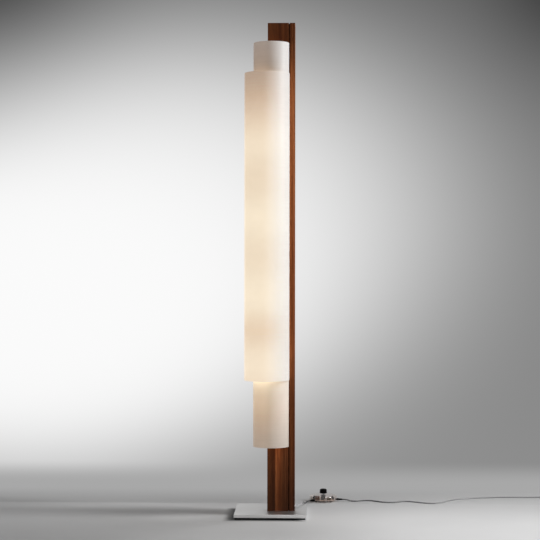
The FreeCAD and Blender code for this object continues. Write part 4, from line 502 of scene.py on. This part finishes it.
def slot_finishes():
    """One material for each of the record's slots."""
    return {
        "brushed_steel": brushed_steel(),
        "black_rubber": moulded("rubber_black", (0.004, 0.004, 0.004), (0.009, 0.009, 0.009), 500,
                                (0.7, 0.9), Specular_IOR_Level=0.03),
        "zinc_steel": moulded("steel_zinc", (0.42, 0.43, 0.44), (0.60, 0.61, 0.62), 900,
                              (0.25, 0.4), Metallic=1.0),
        "brass": moulded("brass_turned", (0.50, 0.34, 0.13), (0.68, 0.48, 0.20), 700,
                         (0.2, 0.38), (1, 1, 6), Metallic=1.0),
        "walnut": walnut("walnut_side", (0.31, 0.17, 0.4), tone=0.9, lit=0.65),
        "laminate": laminate("laminate_outer", OUTER_AXIS, gain=0.735, least=0.02, spot=0.2,
                             left=OUTER_LEFT, right=OUTER_RIGHT),
        "beech": moulded("beech_turned", (0.44, 0.27, 0.14), (0.60, 0.40, 0.23), 160,
                         (0.5, 0.65), (1, 1, 0.06)),
        "white_cable": moulded("cable_white", (0.66, 0.65, 0.62), (0.76, 0.75, 0.72), 600, (0.4, 0.55)),
        "white_plastic": moulded("plastic_white", (0.74, 0.73, 0.70), (0.82, 0.81, 0.79), 500, (0.3, 0.42)),
        "white_steel": moulded("steel_white", (0.70, 0.69, 0.67), (0.78, 0.78, 0.76), 1200,
                               (0.35, 0.5), bump=0.3),
        "grey_cable": cable(),
        "grey_rubber": moulded("rubber_grey", (0.13, 0.13, 0.135), (0.19, 0.19, 0.195), 600, (0.5, 0.7)),
        "grey_plastic": moulded("plastic_grey", (0.18, 0.18, 0.185), (0.25, 0.25, 0.255), 600, (0.35, 0.5)),
        "clear_plastic": clear_plastic(),
        "circuit_board": circuit_board(),
        "copper": wound_copper(),
        "olive_film": moulded("film_olive", (0.050, 0.034, 0.010), (0.115, 0.085, 0.027), 140, (0.18, 0.32)),
        "dark_aluminium": moulded("aluminium_dark", (0.030, 0.036, 0.032), (0.065, 0.075, 0.068), 900,
                                  (0.3, 0.45), (1, 1, 0.1), Metallic=0.8),
        "black_plastic": moulded("plastic_black", (0.001, 0.001, 0.001), (0.003, 0.003, 0.003), 900,
                                 (0.4, 0.55), Specular_IOR_Level=0.05),
        "opal_glass": opal_glass(),
        "nickel": moulded("nickel_plated", (0.52, 0.50, 0.46), (0.66, 0.64, 0.60), 900,
                          (0.15, 0.3), Metallic=1.0),
    }


def own_finishes(by_slot):
    """Materials of pieces that don't look like the rest of their slot."""
    return {
        "post_back_board": walnut("walnut_back", (0.93, 0.44, 1.9), tone=0.9),
        "core_stave_left": walnut("walnut_left", (0.55, 0.71, 2.8), tone=0.8),
        "core_stave_right": walnut("walnut_right", (0.12, 0.36, 4.1), tone=0.85,
                                   streak=(0.031, 0.046, 0.9)),
        # Painted highlight: the boot over the plate is painted pale grey, like the cable beside it
        "cord_boot": moulded("rubber_painted_highlight", (0.42, 0.42, 0.425), (0.54, 0.54, 0.545), 600, (0.45, 0.6)),
        "dimmer_boots": by_slot["black_rubber"],
        "dimmer_pot": moulded("pot_dark", (0.030, 0.038, 0.034), (0.060, 0.072, 0.066), 800,
                              (0.3, 0.45), Metallic=0.5),
        "shade_inner": laminate("laminate_inner", INNER_AXIS, gain=0.44, least=0.09, spot=0.05,
                                left=INNER_LEFT, right=INNER_RIGHT),
    }


def paint(by_slot):
    own = own_finishes(by_slot)
    for name, node in NODES.items():
        finish = own.get(name, by_slot[SLOTS[name]])
        for place in node.material_slots:
            place.material = finish


# Floor and backdrop

PALE = 0.80
FLOOR_BEHIND = 0.374
FLOOR_HALF = 9.0
FADE_CENTRE = (0.0, 0.55, 0.0)
FADE_START = 1.38
FADE_END = 2.4
BACKDROP_START = 0.25
BACKDROP_LIFT = 0.0004
BACKDROP_HALF = 5.0
BACKDROP_TOP = 4.5
BEND_START = 0.75
BEND_RADIUS = 0.25

# The painted shadow on the floor under the front and the left edge of the plate: a square a little off the
# lamp's middle
PAINTED_SHADOW_OFFSET = 0.021
PAINTED_SHADOW_HALF = 0.106

# Soft pools of light or shade, each with its centre, its size and its strength
FLOOR_POOLS = (((0.08, -0.42), (0.28, 0.25), -0.20), ((-0.72, 0.15), (0.42, 0.09), 0.26),
               ((-0.30, -0.07), (0.14, 0.10), 0.26))
WALL_POOLS = (((-1.154, 0.731), (0.854, 0.467), 5.955), ((-0.472, 1.181), (0.940, 0.614), 1.94))
WALL_CORNERS = (((-1.40, 2.25), (0.65, 0.42), -0.70), ((1.30, 2.25), (0.36, 0.42), -0.70))


def pool(made, across, along, centre, size, level):
    one = made.math("DIVIDE", made.math("SUBTRACT", across, centre[0]), size[0])
    other = made.math("DIVIDE", made.math("SUBTRACT", along, centre[1]), size[1])
    both = made.math("MULTIPLY_ADD", one, one, made.product(other, other))
    return made.product(made.math("EXPONENT", made.product(both, -1.0)), level)


def seen_as(made, factor, shader, level):
    """An even tone in place of the lit floor or wall, only where the camera looks straight at it."""
    straight = made.add("LightPath").outputs["Is Camera Ray"]
    even = made.add("Emission", Color=(level, level, level), Strength=1.0).outputs[0]
    return made.blend(made.product(factor, straight), shader, even)


def far_away(made):
    away = made.vector("MULTIPLY", made.vector("SUBTRACT", made.place, FADE_CENTRE), (1, 1, 0))
    return made.ease(made.vector("LENGTH", away), FADE_START, FADE_END)


def behind_lamp(made):
    return made.ease(made.axis("Y"), BACKDROP_START, 0.68)


def floor_finish():
    """Pale and matt, with a painted shadow along the mat, and painted pools of light and shade where the
    studio's light varies.
    """
    made = Finish("floor_pale")
    cloud = made.noise(made.place, 3.0, 4)
    grain = made.noise(made.place, 260, 4, 0.6)
    colour = made.mix(made.span(cloud, 0.3, 0.7), (0.60, 0.60, 0.60), (0.63, 0.63, 0.63))
    across, along = made.axis("X"), made.axis("Y")
    # Painted shadow: dark close to the plate's front and left edges, fading out within 5 cm of the square
    apart = [made.math("ABSOLUTE", made.math("ADD", place, PAINTED_SHADOW_OFFSET)) for place in (across, along)]
    outward = made.math("SUBTRACT", made.math("MAXIMUM", *apart), PAINTED_SHADOW_HALF)
    level = made.ease(outward, 0.006, 0.050, 0.03, 1.0)
    for spot in FLOOR_POOLS:
        level = made.product(level, made.math("ADD", pool(made, across, along, *spot), 1.0))
    shader = made.principled(Base_Color=made.times(colour, level), Specular_IOR_Level=0.15,
                             Roughness=made.span(grain, 0.3, 0.7, 0.55, 0.7),
                             Normal=made.bump(grain, 0.05, 0.0005))
    near = seen_as(made, behind_lamp(made), shader, FLOOR_BEHIND)
    return made.done(seen_as(made, far_away(made), near, PALE))


def backdrop_finish():
    """Lit like a studio wall: two soft pools of light behind the lamp, dim towards the upper corners."""
    made = Finish("backdrop_pale")
    across, height = made.axis("X"), made.axis("Z")
    light = made.math("MULTIPLY_ADD", height, -0.0938, 0.324)
    for spot in WALL_POOLS:
        light = made.math("ADD", light, pool(made, across, height, *spot))
    corners = 0.96
    for spot in WALL_CORNERS:
        corners = made.math("ADD", corners, pool(made, across, height, *spot))
    shade = made.math("SUBTRACT", 1.0, made.math("EXPONENT", made.product(light, -1.0)))
    above = made.math("SUBTRACT", made.product(shade, corners), 0.39)
    shade = made.math("MULTIPLY_ADD", above, made.ease(height, 0.0, 0.08), 0.39)
    wall = made.add("Emission", Color=shade, Strength=1.0).outputs[0]
    paper = made.add("BsdfDiffuse", Color=(0.615, 0.615, 0.615)).outputs[0]
    front = seen_as(made, far_away(made), made.blend(behind_lamp(made), paper, wall), PALE)
    clear = made.add("BsdfTransparent").outputs[0]
    return made.done(made.blend(made.backfacing(), front, clear))


def stage_mesh(name, points, faces, finish):
    data = bpy.data.meshes.new(name)
    data.from_pydata(points, [], faces)
    data.materials.append(finish)
    data.shade_smooth()
    made = add_object(name, data)
    return made


def add_stage():
    corners = [(side * FLOOR_HALF, end * FLOOR_HALF, 0) for side, end in ((-1, -1), (1, -1), (1, 1), (-1, 1))]
    stage_mesh("floor", corners, [(0, 1, 2, 3)], floor_finish())
    profile = [(BACKDROP_START, BACKDROP_LIFT)]
    for turn in range(0, 91, 6):
        angle = math.radians(turn)
        profile.append((BEND_START + BEND_RADIUS * math.sin(angle),
                        BACKDROP_LIFT + BEND_RADIUS * (1 - math.cos(angle))))
    profile.append((BEND_START + BEND_RADIUS, BACKDROP_TOP))
    points = [(side, y, z) for y, z in profile for side in (-BACKDROP_HALF, BACKDROP_HALF)]
    faces = [(2 * row, 2 * row + 1, 2 * row + 3, 2 * row + 2) for row in range(len(profile) - 1)]
    backdrop = stage_mesh("backdrop", points, faces, backdrop_finish())
    backdrop.visible_diffuse = False
    backdrop.visible_shadow = False


# Light

LIGHTS = {
    "key": {"place": (2.88, -0.4, 2.15), "aim": (0.0, 0.0, 1.0), "power": 79, "size": (0.7, 1.3)},
    "side": {"place": (-1.05, -0.1, 2.6), "aim": (-1.05, 0.5, 0.0), "power": 47, "cone": 50},
    "fill": {"place": (0.80, 0.15, 2.9), "aim": (0.65, -0.62, 0.0), "power": 162, "cone": 43},
}


def add_light(name, place, aim, power, size=None, cone=None):
    """A softbox of a given size, or a soft-edged cone of light in degrees."""
    data = bpy.data.lights.new(name, "SPOT" if cone else "AREA")
    data.energy = power
    if cone:
        data.spot_size = math.radians(cone)
        data.spot_blend = 1.0
        data.shadow_soft_size = 0.3
    else:
        data.shape = "RECTANGLE"
        data.size, data.size_y = size
    made = add_object(name, data)
    made.location = place
    made.rotation_euler = (Vector(aim) - Vector(place)).to_track_quat("-Z", "Y").to_euler()


def add_world():
    """A dim room for soft light, pale where the camera sees it, and paler still in reflections."""
    world = bpy.data.worlds.new("studio")
    world.use_nodes = True
    made = Nodes(world.node_tree)
    rays = made.add("LightPath").outputs
    seen = made.math("MAXIMUM", rays["Is Camera Ray"], rays["Is Transmission Ray"])
    room = made.mix(seen, (0.11, 0.11, 0.112), (PALE, PALE, PALE))
    gleam = made.mix(rays["Is Glossy Ray"], room, (0.90, 0.90, 0.905))
    sky = made.add("Background", Color=gleam).outputs[0]
    made.put(made.add("OutputWorld").inputs["Surface"], sky)
    bpy.context.scene.world = world


finishes = slot_finishes()
add_camera()
add_cords(finishes["grey_cable"])
paint(finishes)
add_stage()
for name, settings in LIGHTS.items():
    add_light(name, **settings)
add_world()
bpy.context.scene.view_settings.view_transform = "Standard"
